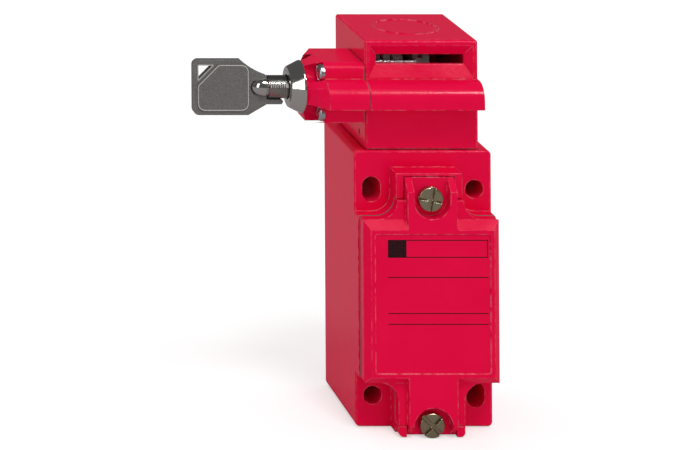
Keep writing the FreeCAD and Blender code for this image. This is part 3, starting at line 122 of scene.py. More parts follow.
class SwitchScrews(bpy.types.PropertyGroup):
    """Sizes of the screws' heads and threads."""

    cover_head: bpy.props.FloatProperty(
        name="Cover screw head", description="Height of a cover screw's head", unit="LENGTH",
        default=2.3 * MM)
    cover_shank: bpy.props.FloatProperty(
        name="Cover screw shank", description="Radius over a cover screw's thread", unit="LENGTH",
        default=2.0 * MM)
    cover_edge: bpy.props.FloatProperty(
        name="Cover screw edge", description="Rounding of a cover screw's rim", unit="LENGTH",
        default=0.42 * MM)
    cover_slot: bpy.props.FloatProperty(
        name="Cover screw slot", description="Width of a cover screw's long slot", unit="LENGTH",
        default=1.2 * MM)
    cover_cross: bpy.props.FloatProperty(
        name="Cover screw cross", description="Width of the slot across it", unit="LENGTH",
        default=0.8 * MM)
    cover_pitch: bpy.props.FloatProperty(
        name="Cover screw pitch", description="Pitch of a cover screw's thread", unit="LENGTH",
        default=0.7 * MM)
    lock_head_radius: bpy.props.FloatProperty(
        name="Lock screw radius", description="Radius of a lock screw's head", unit="LENGTH",
        default=2.45 * MM)
    lock_head: bpy.props.FloatProperty(
        name="Lock screw head", description="Height of a lock screw's head", unit="LENGTH",
        default=1.8 * MM)
    lock_shank: bpy.props.FloatProperty(
        name="Lock screw shank", description="Radius over a lock screw's thread", unit="LENGTH",
        default=1.1 * MM)
    lock_edge: bpy.props.FloatProperty(
        name="Lock screw edge", description="Rounding of a lock screw's pan head", unit="LENGTH",
        default=0.95 * MM)
    lock_slot: bpy.props.FloatProperty(
        name="Lock screw slot", description="Width of a lock screw's slot", unit="LENGTH",
        default=0.6 * MM)
    lock_pitch: bpy.props.FloatProperty(
        name="Lock screw pitch", description="Pitch of a lock screw's thread", unit="LENGTH",
        default=0.45 * MM)
    entry_pitch: bpy.props.FloatProperty(
        name="Entry pitch", description="Pitch of the cable entry's thread", unit="LENGTH",
        default=1.5 * MM)
    entry_depth: bpy.props.FloatProperty(
        name="Entry thread depth", description="Height of the cable entry's thread", unit="LENGTH",
        default=0.5 * MM)
    entry_wall: bpy.props.FloatProperty(
        name="Entry wall", description="Sleeve left behind the thread's root", unit="LENGTH",
        default=0.05 * MM)
    entry_radius: bpy.props.FloatProperty(
        name="Entry radius", description="Radius of the cable entry's bore", unit="LENGTH",
        default=9.19 * MM)
    entry_length: bpy.props.FloatProperty(
        name="Entry length", description="Length of the cable entry's thread", unit="LENGTH",
        default=8.0 * MM)
    entry_inset: bpy.props.FloatProperty(
        name="Entry inset", description="Plain bore below the thread", unit="LENGTH", default=1.0 * MM)
    entry_place: bpy.props.FloatProperty(
        name="Entry place", description="Entry's middle in front of the back face", unit="LENGTH",
        default=15.5 * MM)


class SwitchKey(bpy.types.PropertyGroup):
    """Sizes of the key and of the lock's mouth."""

    tube_length: bpy.props.FloatProperty(
        name="Tube length", description="Key tube in front of its collar", unit="LENGTH",
        default=12.2 * MM)
    tube_bore: bpy.props.FloatProperty(
        name="Tube bore", description="Inner radius of the key tube", unit="LENGTH", default=2.85 * MM)
    bore_depth: bpy.props.FloatProperty(
        name="Bore depth", description="Depth of the tube's bore", unit="LENGTH", default=6.8 * MM)
    cap_radius: bpy.props.FloatProperty(
        name="Cap radius", description="Radius of the shank's round end", unit="LENGTH",
        default=3.0 * MM)
    waist_length: bpy.props.FloatProperty(
        name="Waist length", description="Length of the waist between cap and tube", unit="LENGTH",
        default=0.5 * MM)
    waist_depth: bpy.props.FloatProperty(
        name="Waist depth", description="Depth of that waist", unit="LENGTH", default=0.22 * MM)
    tube_chamfer: bpy.props.FloatProperty(
        name="Tube chamfer", description="Chamfer at the tube's ends", unit="LENGTH", default=0.3 * MM)
    collar_slope: bpy.props.FloatProperty(
        name="Collar slope", description="Length of the slope from the waist to the tube",
        unit="LENGTH", default=0.25 * MM)
    plain_length: bpy.props.FloatProperty(
        name="Plain length", description="Tube from its collar to the first ring", unit="LENGTH",
        default=0.35 * MM)
    ringed_length: bpy.props.FloatProperty(
        name="Ringed length", description="Tube from its collar to the last ring", unit="LENGTH",
        default=5.49 * MM)
    ring_pitch: bpy.props.FloatProperty(
        name="Ring pitch", description="Distance between the turned rings on the tube", unit="LENGTH",
        default=0.55 * MM)
    ring_depth: bpy.props.FloatProperty(
        name="Ring depth", description="Depth of those rings", unit="LENGTH", default=0.09 * MM)
    panel_margin: bpy.props.FloatProperty(
        name="Panel margin", description="Grip's rim outside its raised panel", unit="LENGTH",
        default=1.5 * MM)
    panel_corner: bpy.props.FloatProperty(
        name="Panel corner", description="Rounding of the raised panel's corners", unit="LENGTH",
        default=2.3 * MM)
    cut_corner: bpy.props.FloatProperty(
        name="Cut corner", description="Rounding beside the panel's cut-off corner", unit="LENGTH",
        default=0.7 * MM)
    rim_half: bpy.props.FloatProperty(
        name="Rim half", description="Half the thickness of the grip's rim", unit="LENGTH",
        default=1.2 * MM)
    hole_side: bpy.props.FloatProperty(
        name="Ring hole", description="Side of the triangular hole for a key ring", unit="LENGTH",
        default=4.6 * MM)
    hole_corner: bpy.props.FloatProperty(
        name="Ring hole corner", description="Rounding of that hole's corners", unit="LENGTH",
        default=0.35 * MM)
    hole_bar: bpy.props.FloatProperty(
        name="Ring hole bar", description="Bar between that hole and the panel", unit="LENGTH",
        default=1.5 * MM)
    bead_width: bpy.props.FloatProperty(
        name="Bead width", description="Half width of the bead round the panel", unit="LENGTH",
        default=0.15 * MM)
    bead_height: bpy.props.FloatProperty(
        name="Bead height", description="Height of that bead", unit="LENGTH", default=0.12 * MM)
    bezel_nose: bpy.props.FloatProperty(
        name="Bezel nose", description="Radius of the bezel's front edge", unit="LENGTH",
        default=5.8 * MM)
    bezel_lip: bpy.props.FloatProperty(
        name="Bezel lip", description="Rounding where the bezel meets the barrel", unit="LENGTH",
        default=0.2 * MM)
    bezel_edge: bpy.props.FloatProperty(
        name="Bezel edge", description="Rounding of the bezel's edges", unit="LENGTH",
        default=0.45 * MM)


class SwitchStage(bpy.types.PropertyGroup):
    """Floor, lights and camera."""

    floor_size: bpy.props.FloatProperty(
        name="Floor", description="Side of the square floor", unit="LENGTH", default=12.0)
    floor_colour: bpy.props.FloatVectorProperty(
        name="Floor colour", description="Colour of the floor",
        subtype="COLOR", size=3, min=0, max=1, default=(0.62, 0.62, 0.62))
    floor_glow: bpy.props.FloatProperty(
        name="Floor glow", description="Light that the white sheet adds to the eye", default=0.50)
    floor_lit: bpy.props.FloatVectorProperty(
        name="Floor light", description="Colour of the light that the sheet throws back",
        subtype="COLOR", size=3, min=0, max=1, default=(0.78, 0.76, 0.76))
    floor_dark: bpy.props.FloatVectorProperty(
        name="Dark floor", description="Colour of the floor as polished metal mirrors it",
        subtype="COLOR", size=3, min=0, max=1, default=(0.34, 0.33, 0.33))
    camera_place: bpy.props.FloatVectorProperty(
        name="Camera place", description="Where the camera stands",
        subtype="TRANSLATION", size=3, default=(-0.2321, -0.8375, 0.26725))
    picture_centre: bpy.props.FloatVectorProperty(
        name="Picture centre", description="Ray through the middle of the picture, per metre of depth",
        size=3, default=(0.2624, 1.0, -0.3083))
    upright_lean: bpy.props.FloatProperty(
        name="Upright lean", description="Sideways slope of the picture's upright direction", default=0.006)
    focal_length: bpy.props.FloatProperty(
        name="Focal length", description="Focal length on a 36 mm wide sensor, in millimetres",
        default=152.9)
    sky_strength: bpy.props.FloatProperty(
        name="Sky", description="Strength of the even light all round", default=0.68)
    dark_sky: bpy.props.FloatProperty(
        name="Dark sky", description="Strength of the sky as polished metal mirrors it", default=0.10)
    sun_strength: bpy.props.FloatProperty(
        name="Main light", description="Strength of the wide light above the front", default=0.92)
    sun_height: bpy.props.FloatProperty(
        name="Light height", description="Height of the main light over the floor", subtype="ANGLE",
        default=math.radians(60))
    sun_side: bpy.props.FloatProperty(
        name="Light side", description="How far the main light stands to the right", subtype="ANGLE",
        default=math.radians(10))
    sun_spread: bpy.props.FloatProperty(
        name="Light spread", description="Width of the main light as seen from the switch",
        subtype="ANGLE", default=math.radians(16))
    strip_power: bpy.props.FloatProperty(
        name="Strip light", description="Power of the strip light at the front left", unit="POWER",
        default=1.6)
    strip_width: bpy.props.FloatProperty(
        name="Strip width", description="Width of the strip light", unit="LENGTH", default=0.22)
    strip_height: bpy.props.FloatProperty(
        name="Strip height", description="Height of the strip light", unit="LENGTH", default=0.80)
    strip_place: bpy.props.FloatVectorProperty(
        name="Strip place", description="Strip light, from the middle of the switch",
        subtype="TRANSLATION", size=3, default=(-0.60, -0.72, 0.42))
    glint_power: bpy.props.FloatProperty(
        name="Glint light", description="Power of the small light that picks out edges", unit="POWER",
        default=7.0)
    glint_size: bpy.props.FloatProperty(
        name="Glint size", description="Side of the small square light", unit="LENGTH", default=0.10)
    glint_place: bpy.props.FloatVectorProperty(
        name="Glint place", description="Small light, from the middle of the switch",
        subtype="TRANSLATION", size=3, default=(0.36, -0.62, 0.72))


# ---------------------------------------------------------------- shader helpers

def new_group(name, inputs, outputs):
    """Shader node group with named sockets; returns the group and its two end nodes."""
    group = bpy.data.node_groups.new(name, "ShaderNodeTree")
    for label, kind, value in inputs:
        group.interface.new_socket(label, in_out="INPUT", socket_type=kind).default_value = value
    for label, kind in outputs:
        group.interface.new_socket(label, in_out="OUTPUT", socket_type=kind)
    return group, group.nodes.new("NodeGroupInput"), group.nodes.new("NodeGroupOutput")


def feed(tree, socket, value):
    """Link an input to another socket, or set it to a plain value."""
    if isinstance(value, bpy.types.NodeSocket):
        tree.links.new(value, socket)
    else:
        socket.default_value = value


def calc(tree, operation, *values, clamp=False):
    """Socket with the result of one operation on sockets or numbers."""
    node = tree.nodes.new("ShaderNodeMath")
    node.operation = operation
    node.use_clamp = clamp
    for socket, value in zip(node.inputs, values):
        feed(tree, socket, value)
    return node.outputs[0]


def vector_calc(tree, operation, first, second):
    """Node with the result of one operation on two vector sockets."""
    node = tree.nodes.new("ShaderNodeVectorMath")
    node.operation = operation
    tree.links.new(first, node.inputs[0])
    tree.links.new(second, node.inputs[1])
    return node


def object_place(tree):
    """Socket with the place on the piece, in metres."""
    return tree.nodes.new("ShaderNodeTexCoord").outputs["Object"]


def noise(tree, place, scale, detail=2.0, roughness=0.5):
    """Socket with noise between 0 and 1; scale is in cells per metre."""
    node = tree.nodes.new("ShaderNodeTexNoise")
    node.inputs["Detail"].default_value = detail
    node.inputs["Roughness"].default_value = roughness
    tree.links.new(place, node.inputs["Vector"])
    feed(tree, node.inputs["Scale"], scale)
    return node.outputs["Fac"]


def spread(tree, value, start, stop, low=0.0, high=1.0):
    """Socket that runs from low to high as a value goes from start to stop."""
    node = tree.nodes.new("ShaderNodeMapRange")
    tree.links.new(value, node.inputs["Value"])
    for label, number in (("From Min", start), ("From Max", stop), ("To Min", low), ("To Max", high)):
        node.inputs[label].default_value = number
    return node.outputs["Result"]


def blend(tree, factor, first, second):
    """Socket with a colour between two, each a socket or red, green and blue."""
    mix = tree.nodes.new("ShaderNodeMix")
    mix.data_type = "RGBA"
    tree.links.new(factor, mix.inputs["Factor"])
    for label, colour in (("A", first), ("B", second)):
        feed(tree, mix.inputs[label], (*colour, 1.0) if isinstance(colour, tuple) else colour)
    return mix.outputs["Result"]


def toward(colour, other, share):
    """Colour moved by a share of the way to another."""
    return tuple(a + (b - a) * share for a, b in zip(colour, other))


def peel_group():
    """Ripples of stoved enamel or moulded skin: two noises of object position, summed.
    Height is coarse noise plus a fifth of fine noise; Tone is a slow drift between 0 and 1."""
    group, start, end = new_group(
        "surface_ripples",
        [("Size", "NodeSocketFloat", 1.0 * MM), ("Drift", "NodeSocketFloat", 20 * MM)],
        [("Height", "NodeSocketFloat"), ("Tone", "NodeSocketFloat")])
    place = object_place(group)
    rate = calc(group, "DIVIDE", 1.0, start.outputs["Size"])
    coarse = noise(group, place, rate, roughness=0.4)
    fine = noise(group, place, calc(group, "MULTIPLY", rate, 4.0), detail=3.0)
    height = calc(group, "ADD", coarse, calc(group, "MULTIPLY", fine, 0.2))
    group.links.new(height, end.inputs["Height"])
    slow_rate = calc(group, "DIVIDE", 1.0, start.outputs["Drift"])
    group.links.new(noise(group, place, slow_rate, detail=4.0), end.inputs["Tone"])
    return group


def edge_group():
    """Edges: five times the turn between the true normal and one rounded over Radius, broken up
    by noise into patches.  Mask marks where edges are painted paler: a painted highlight, plus wear.
    Normal is the rounded normal."""
    group, start, end = new_group(
        "worn_and_highlit_edges",
        [("Radius", "NodeSocketFloat", 0.3 * MM), ("Breakup", "NodeSocketFloat", 400.0)],
        [("Mask", "NodeSocketFloat"), ("Normal", "NodeSocketVector")])
    rounded = group.nodes.new("ShaderNodeBevel")
    rounded.samples = 6
    group.links.new(start.outputs["Radius"], rounded.inputs["Radius"])
    true = group.nodes.new("ShaderNodeNewGeometry")
    match = vector_calc(group, "DOT_PRODUCT", rounded.outputs[0], true.outputs["True Normal"])
    turn = calc(group, "SUBTRACT", 1.0, match.outputs["Value"], clamp=True)
    stretch = calc(group, "MULTIPLY", turn, 5.0, clamp=True)
    patches = noise(group, object_place(group), start.outputs["Breakup"], detail=5.0)
    # Patchy mask for edges painted paler: painted highlight plus wear
    worn_and_highlit = calc(group, "MULTIPLY", stretch, spread(group, patches, 0.42, 0.62), clamp=True)
    group.links.new(worn_and_highlit, end.inputs["Mask"])
    group.links.new(rounded.outputs[0], end.inputs["Normal"])
    return group


def grain_group():
    """Drawn or turned grain: noise of object position squeezed along one axis by Stretch."""
    group, start, end = new_group(
        "drawn_grain",
        [("Scale", "NodeSocketFloat", 900.0), ("Stretch", "NodeSocketVector", (1.0, 0.04, 0.04))],
        [("Grain", "NodeSocketFloat")])
    squeezed = vector_calc(group, "MULTIPLY", object_place(group), start.outputs["Stretch"])
    grain = noise(group, squeezed.outputs[0], start.outputs["Scale"], detail=6.0)
    group.links.new(grain, end.inputs["Grain"])
    return group


def print_group():
    """Printed box on a face that looks along Y, from object position in metres.  With d the
    larger of |x - cx| - hx and |z - cz| - hz, Mask is 1 where d is within half a line of 0,
    and inside too where Solid is 1."""
    labels = ("Centre X", "Centre Z", "Half X", "Half Z", "Half line", "Solid")
    group, start, end = new_group("printed_box", [(label, "NodeSocketFloat", 0.0) for label in labels],
                                  [("Mask", "NodeSocketFloat")])
    split = group.nodes.new("ShaderNodeSeparateXYZ")
    group.links.new(object_place(group), split.inputs[0])
    past = []
    for axis in ("X", "Z"):
        offset = calc(group, "SUBTRACT", split.outputs[axis], start.outputs["Centre " + axis])
        size = calc(group, "ABSOLUTE", offset)
        past.append(calc(group, "SUBTRACT", size, start.outputs["Half " + axis]))
    widest = calc(group, "MAXIMUM", *past)
    half_line = start.outputs["Half line"]
    outside = calc(group, "LESS_THAN", widest, half_line)
    inside = calc(group, "LESS_THAN", widest, calc(group, "MULTIPLY", half_line, -1.0))
    hollow = calc(group, "SUBTRACT", 1.0, start.outputs["Solid"])
    left = calc(group, "SUBTRACT", outside, calc(group, "MULTIPLY", inside, hollow), clamp=True)
    group.links.new(left, end.inputs["Mask"])
    return group


GROUPS = {"ripples": peel_group(), "edges": edge_group(), "grain": grain_group(), "print": print_group()}


def place_group(tree, key, values):
    """Put a shared group into a node tree and set its named inputs."""
    node = tree.nodes.new("ShaderNodeGroup")
    node.node_tree = GROUPS[key]
    for label, value in values.items():
        node.inputs[label].default_value = value
    return node


def start_material(name, **sockets):
    """Material, node tree and Principled shader, with uniform values on the shader's own sockets."""
    material = bpy.data.materials.new(name)
    material.use_nodes = True
    tree = material.node_tree
    shader = tree.nodes["Principled BSDF"]
    for label, value in sockets.items():
        shader.inputs[label.replace("_", " ")].default_value = value
    return material, tree, shader


def uneven_gloss(tree, shader, factor, low, high):
    """Roughness runs from low to high over the middle of a noise socket's range."""
    tree.links.new(spread(tree, factor, 0.3, 0.7, low, high), shader.inputs["Roughness"])


def bump(tree, shader, height, distance, normal=None):
    """Bump from a height socket; distance is the height of a full step, in metres."""
    node = tree.nodes.new("ShaderNodeBump")
    node.inputs["Distance"].default_value = distance
    node.inputs["Strength"].default_value = 1.0
    tree.links.new(height, node.inputs["Height"])
    if normal is not None:
        tree.links.new(normal, node.inputs["Normal"])
    tree.links.new(node.outputs[0], shader.inputs["Normal"])


# ---------------------------------------------------------------- finishes

BLACK = (0.0, 0.0, 0.0)
WHITE = (1.0, 1.0, 1.0)
# Grain's squeeze along each axis: drawn along X, or the same all ways.
ALONG_X = (0.04, 1.0, 1.0)
EVEN = (1.0, 1.0, 1.0)

# Printed on the cover's panel: (left, right, low, high, solid), in millimetres.
PRINTED_BOXES = ((-12.8, -7.7, 13.2, 18.1, 1.0), (-12.8, 15.8, 13.2, 18.1, 0.0),
                 (-12.8, 15.9, 7.4, 7.4, 0.0), (-12.8, 15.9, -3.0, -3.0, 0.0),
                 (-12.8, 15.9, -6.1, -6.1, 0.0))
PRINT_LINE = 0.26 * MM
# Ink lies only on faces this close behind the cover's front.
PRINT_REACH = 0.35 * MM


def enamel_finish(finishes, name="red_enamel_finish"):
    """Glossy stoved enamel: slow change of tone, fine ripples, edges painted paler: thinner enamel plus a
    painted highlight.
    """
    red = tuple(finishes.enamel)
    material, tree, shader = start_material(name, Roughness=0.16, Specular_IOR_Level=0.13,
                                            Specular_Tint=(1.0, 0.50, 0.58, 1.0))
    ripples = place_group(tree, "ripples", {"Size": finishes.peel_size, "Drift": 12 * MM})
    edges = place_group(tree, "edges", {"Radius": finishes.edge_radius, "Breakup": 520.0})
    tone = blend(tree, ripples.outputs["Tone"], toward(red, BLACK, 0.10),
                 toward(red, (1.0, 0.02, 0.10), 0.06))
    # Edges painted pale pink: thinner enamel, plus a painted highlight standing in for glints
    worn_and_highlit = blend(tree, edges.outputs["Mask"], tone, toward(red, (1.0, 0.50, 0.55), 0.48))
    tree.links.new(worn_and_highlit, shader.inputs["Base Color"])
    uneven_gloss(tree, shader, ripples.outputs["Tone"], 0.12, 0.22)
    bump(tree, shader, ripples.outputs["Height"], 0.018 * MM, edges.outputs["Normal"])
    return material


def printed_enamel_finish(finishes):
    """Enamel with a blank rating frame, a square and three rules in black ink on the panel."""
    material = enamel_finish(finishes, "printed_enamel_finish")
    tree = material.node_tree
    printed = 0.0
    for left, right, low, high, solid in PRINTED_BOXES:
        box = place_group(tree, "print", {
            "Centre X": (left + right) / 2 * MM, "Centre Z": (low + high) / 2 * MM,
            "Half X": (right - left) / 2 * MM, "Half Z": (high - low) / 2 * MM,
            "Half line": PRINT_LINE / 2, "Solid": solid})
        printed = calc(tree, "MAXIMUM", printed, box.outputs["Mask"])
    place = object_place(tree)
    split = tree.nodes.new("ShaderNodeSeparateXYZ")
    tree.links.new(place, split.inputs[0])
    front = calc(tree, "LESS_THAN", split.outputs["Y"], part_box("front_cover")[0].y + PRINT_REACH)
    opacity = spread(tree, noise(tree, place, 2600.0), 0.25, 0.42, 0.90, 1.0)
    inked = calc(tree, "MULTIPLY", calc(tree, "MULTIPLY", printed, front), opacity)
    base = tree.nodes["Principled BSDF"].inputs["Base Color"]
    tree.links.new(blend(tree, inked, base.links[0].from_socket, tuple(finishes.ink)), base)
    return material


def rubber_finish(finishes):
    """Matt sealing rubber with a fine skin."""
    grey = tuple(finishes.gasket)
    material, tree, shader = start_material("gasket_rubber_finish", Roughness=0.75)
    ripples = place_group(tree, "ripples", {"Size": 0.4 * MM, "Drift": 5 * MM})
    tone = blend(tree, ripples.outputs["Tone"], toward(grey, BLACK, 0.25), toward(grey, WHITE, 0.08))
    tree.links.new(tone, shader.inputs["Base Color"])
    bump(tree, shader, ripples.outputs["Height"], 0.03 * MM)
    return material


def metal_finish(name, colour, second, low, high, stretch, radius):
    """Plated metal: grain along one axis, two tones, edges painted bright as worn plate plus a painted
    highlight.
    """
    material, tree, shader = start_material(name, Metallic=1.0, Roughness=(low + high) / 2)
    grain = place_group(tree, "grain", {"Scale": 1100.0, "Stretch": stretch})
    ripples = place_group(tree, "ripples", {"Size": 0.5 * MM, "Drift": 2.5 * MM})
    edges = place_group(tree, "edges", {"Radius": radius, "Breakup": 700.0})
    tone = blend(tree, ripples.outputs["Tone"], colour, second)
    # Edges painted bright: worn plate plus a painted rim highlight
    worn_and_highlit = blend(tree, edges.outputs["Mask"], tone, toward(colour, (0.95, 0.94, 0.9), 0.5))
    tree.links.new(worn_and_highlit, shader.inputs["Base Color"])
    uneven_gloss(tree, shader, grain.outputs["Grain"], low, high)
    bump(tree, shader, grain.outputs["Grain"], 0.012 * MM, edges.outputs["Normal"])
    return material


def moulded_finish(name, colour, low, high, size, depth, radius):
    """Moulded plastic with a spark-eroded skin; edges painted a little paler, as rubbing plus a painted
    highlight.
    """
    material, tree, shader = start_material(name, Roughness=(low + high) / 2)
    ripples = place_group(tree, "ripples", {"Size": size, "Drift": 6 * MM})
    edges = place_group(tree, "edges", {"Radius": radius, "Breakup": 500.0})
    tone = blend(tree, ripples.outputs["Height"], toward(colour, BLACK, 0.35),
                 toward(colour, WHITE, 0.10))
    # Edges painted paler: rubbing plus a painted highlight
    worn_and_highlit = blend(tree, edges.outputs["Mask"], tone, toward(colour, (0.9, 0.88, 0.84), 0.28))
    tree.links.new(worn_and_highlit, shader.inputs["Base Color"])
    uneven_gloss(tree, shader, ripples.outputs["Tone"], low, high)
    bump(tree, shader, ripples.outputs["Height"], depth, edges.outputs["Normal"])
    return material


def tube_painted_shade_finish(finishes):
    """Duller, darker copy of the chrome for the tube: painted shade for the dark studio that the tube
    mirrors.
    """
    chrome = tuple(finishes.chrome)
    return metal_finish("turned_tube_painted_shade_finish", toward(chrome, BLACK, 0.42),
                        toward(chrome, (0.16, 0.15, 0.13), 0.70), 0.14, 0.28, EVEN, 0.06 * MM)


def bead_wear_and_highlight_finish(finishes):
    """Beads of the grip: the grip's own skin painted pale and smoother, as rubbed wear plus a painted
    highlight along the bead.
    """
    return moulded_finish("grip_bead_wear_and_highlight_finish", tuple(finishes.worn_and_highlit_grip), 0.25, 0.38, 0.5 * MM,
                          0.02 * MM, 0.05 * MM)


def finish_for(slot, finishes):
    """Material for one of the record's slots."""
    makers = {
        "red_enamel": lambda: enamel_finish(finishes),
        "gasket_rubber": lambda: rubber_finish(finishes),
        "passivated_steel": lambda: metal_finish(
            "passivated_steel_finish", tuple(finishes.passivate),
            toward(tuple(finishes.passivate), (0.36, 0.30, 0.34), 0.6), 0.20, 0.40, EVEN, 0.28 * MM),
        "bright_steel": lambda: metal_finish(
            "bright_steel_finish", tuple(finishes.zinc),
            toward(tuple(finishes.zinc), (0.45, 0.47, 0.52), 0.4), 0.20, 0.36, EVEN, 0.12 * MM),
        "polished_chrome": lambda: metal_finish(
            "polished_chrome_finish", tuple(finishes.chrome),
            toward(tuple(finishes.chrome), (0.62, 0.58, 0.54), 0.3), 0.05, 0.13, ALONG_X, 0.10 * MM),
        "key_grip": lambda: moulded_finish(
            "key_grip_finish", tuple(finishes.grip), 0.36, 0.50, 0.30 * MM, 0.16 * MM, 0.22 * MM),
        "grey_polymer": lambda: moulded_finish(
            "grey_polymer_finish", tuple(finishes.polymer), 0.40, 0.52, 0.8 * MM, 0.03 * MM, 0.10 * MM),
        "black_moulding": lambda: moulded_finish(
            "black_moulding_finish", tuple(finishes.moulding), 0.45, 0.60, 0.6 * MM, 0.04 * MM, 0.12 * MM),
        "contact_brass": lambda: metal_finish(
            "contact_brass_finish", tuple(finishes.brass),
            toward(tuple(finishes.brass), (0.52, 0.34, 0.14), 0.4), 0.25, 0.40, ALONG_X, 0.08 * MM),
        "spring_steel": lambda: metal_finish(
            "spring_steel_finish", (0.45, 0.45, 0.46), (0.33, 0.33, 0.35), 0.28, 0.40, EVEN, 0.05 * MM),
    }
    return makers[slot]()


def finish_of(slot, finishes):
    """One material per slot, made the first time it is asked for."""
    name = slot + "_finish"
    return bpy.data.materials.get(name) or finish_for(slot, finishes)


def dress(slots, finishes):
    """Put the finishes of some slots on all nodes that take them."""
    for node, slot in SLOT_OF.items():
        if slot not in slots:
            continue
        material = finish_of(slot, finishes)
        for holder in NODES[node].material_slots:
            holder.material = material


# ---------------------------------------------------------------- surfaces

# Columns of points round each turned piece, and rows over the forms that need many.
COLUMNS = {"cover_screws": 160, "lock_screws": 72, "key_tube": 96, "lock_bezel": 144, "entry_thread": 128}
CROWN_ROWS, RIM_ROWS = 40, 9
CAP_ROWS, RING_ROWS = 24, 110
BEAD_SIDES = 12


def skin(rings, closed, poles):
    """Points and faces of a grid of points (rows, columns, 3) whose columns close round.
    closed joins the last row to the first; with poles, the first and last rows are points."""
    rows, columns = rings.shape[:2]
    index = np.arange(rows * columns).reshape(rows, columns)
    if poles:
        index[0] = 0
        index[-1] = index[-1, 0]
    used, packed = np.unique(index, return_inverse=True)
    index = packed.reshape(rows, columns)
    near, far = (index, np.roll(index, -1, axis=0)) if closed else (index[:-1], index[1:])
    quads = np.stack((near, far, np.roll(far, -1, axis=1), np.roll(near, -1, axis=1)), axis=-1)
    points = rings.reshape(-1, 3)[used]
    if not poles:
        return points, quads.reshape(-1, 4), np.empty((0, 3), int)
    tips = np.concatenate((quads[0][:, :3], quads[-1][:, (0, 1, 3)]))
    return points, quads[1:-1].reshape(-1, 4), tips


def make_piece(name, grids, slot, body, finishes, closed=False, poles=False):
    """One object from several grids of points, dressed, and riding on a body."""
    points, faces, start = [], [], 0
    for rings in grids:
        part, quads, tips = skin(rings, closed, poles)
        points.append(part)
        faces += (quads + start).tolist() + (tips + start).tolist()
        start += len(part)
    mesh = bpy.data.meshes.new(name)
    mesh.from_pydata(np.concatenate(points).tolist(), [], faces)
    mesh.validate()
    mesh.shade_smooth()
    mesh.set_sharp_from_angle(angle=math.radians(38))
    mesh.materials.append(finish_of(slot, finishes))
    piece = bpy.data.objects.new(name, mesh)
    bpy.context.scene.collection.objects.link(piece)
    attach(piece, body)
    return piece


def turned(middle, out, radii, heights, columns):
    """Points middle + radius (u cos a + v sin a) + height out, where u is upright, v = out x u
    and the angle a goes once round.  radii and heights hold rows, or rows by columns."""
    angles = np.linspace(0, 2 * np.pi, columns, endpoint=False)
    upright = np.array((0.0, 0.0, 1.0))
    side = np.cross(out, upright)
    ray = np.cos(angles)[:, None] * upright + np.sin(angles)[:, None] * side
    radii = np.broadcast_to(np.reshape(radii, (len(radii), -1)), (len(radii), columns))
    heights = np.broadcast_to(np.reshape(heights, (len(heights), -1)), (len(heights), columns))
    return np.array(middle) + radii[..., None] * ray + heights[..., None] * np.array(out)


def upright_rings(middle, radii, heights):
    """Points middle + radius (X cos a + Y sin a) + height Z, for rows by columns of both."""
    angles = np.linspace(0, 2 * np.pi, radii.shape[1], endpoint=False)
    return np.array(middle) + np.stack((radii * np.cos(angles), radii * np.sin(angles), heights), axis=-1)


def eased(corners, reach, steps):
    """Closed line through corners with a parabola at each: (1-t)(1-t) P + 2t(1-t) C + t t Q, where P
    and Q lie at a distance reach from the corner C towards its neighbours."""
    corners = np.array(corners, float)
    before = np.roll(corners, 1, axis=0) - corners
    after = np.roll(corners, -1, axis=0) - corners
    reach = np.broadcast_to(reach, len(corners))[:, None]
    first = corners + before / np.linalg.norm(before, axis=1)[:, None] * reach
    last = corners + after / np.linalg.norm(after, axis=1)[:, None] * reach
    t = np.linspace(0, 1, steps)[None, :, None]
    arcs = (1 - t) ** 2 * first[:, None] + 2 * t * (1 - t) * corners[:, None] + t ** 2 * last[:, None]
    return arcs.reshape(-1, corners.shape[1])


def smooth_step(t):
    """0 below 0, 1 above 1, and t t (3 - 2t) between."""
    t = np.clip(t, 0, 1)
    return t * t * (3 - 2 * t)


def ridge(turns):
    """Thread's height from 0 to 1 along its pitch: a V with a flat root and crest."""
    return smooth_step(1.25 - 2.5 * np.abs(turns - np.floor(turns) - 0.5))


def screw_grid(seat, out, head_r, head_h, shank_r, length, edge, slots, pitch, columns):
    """Screw as one turned surface: crown h = H - c r r, quarter-round rim, side, seat, and a
    shank of radius minor + depth ridge(height / pitch - angle / full turn).  The head is cut
    down to a smooth step across each slot; slots gives each one's angle and width."""
    crown, side_step, slot_depth = 0.06 * head_h, 0.42 * head_h, 0.5 * head_h
    flat = head_r - edge
    over = np.linspace(0, flat, CROWN_ROWS)
    bend = np.linspace(0, np.pi / 2, RIM_ROWS)[1:]
    head_radii = np.concatenate((over, flat + edge * np.sin(bend)))
    head_heights = np.concatenate((head_h - crown * (over / flat) ** 2,
                                   head_h - crown - edge * (1 - np.cos(bend))))
    angles = np.linspace(0, 2 * np.pi, columns, endpoint=False)
    along = head_radii[:, None] * np.cos(angles)
    across = head_radii[:, None] * np.sin(angles)
    cut = np.zeros_like(along)
    for turn, width in slots:
        off = np.abs(across * np.cos(turn) - along * np.sin(turn))
        wall = 0.12 * width
        cut = np.maximum(cut, smooth_step((width / 2 - off) / wall + 0.5))
    top = np.minimum(head_heights[:, None], head_h - slot_depth * cut)
    side_radii = np.full((2, columns), head_r)
    side_heights = np.array((side_step, 0.0))[:, None] + np.zeros(columns)
    drop = np.arange(0, length - pitch, pitch / 6)
    minor = 0.82 * shank_r
    tip = 0.8 * minor
    fade = smooth_step(drop / pitch) * smooth_step((length - pitch - drop) / pitch)
    thread = ridge(drop[:, None] / pitch + angles / (2 * np.pi)) * fade[:, None]
    shank_radii = minor + (shank_r - minor) * thread
    tip_radii = np.array((tip, 0.0))[:, None] + np.zeros(columns)
    radii = np.concatenate((head_radii[:, None] + np.zeros(columns), side_radii, shank_radii, tip_radii))
    heights = np.concatenate((top, side_heights, -drop[:, None] + np.zeros(columns),
                              np.full((2, columns), -length)))
    return turned(seat, out, radii, heights, columns)


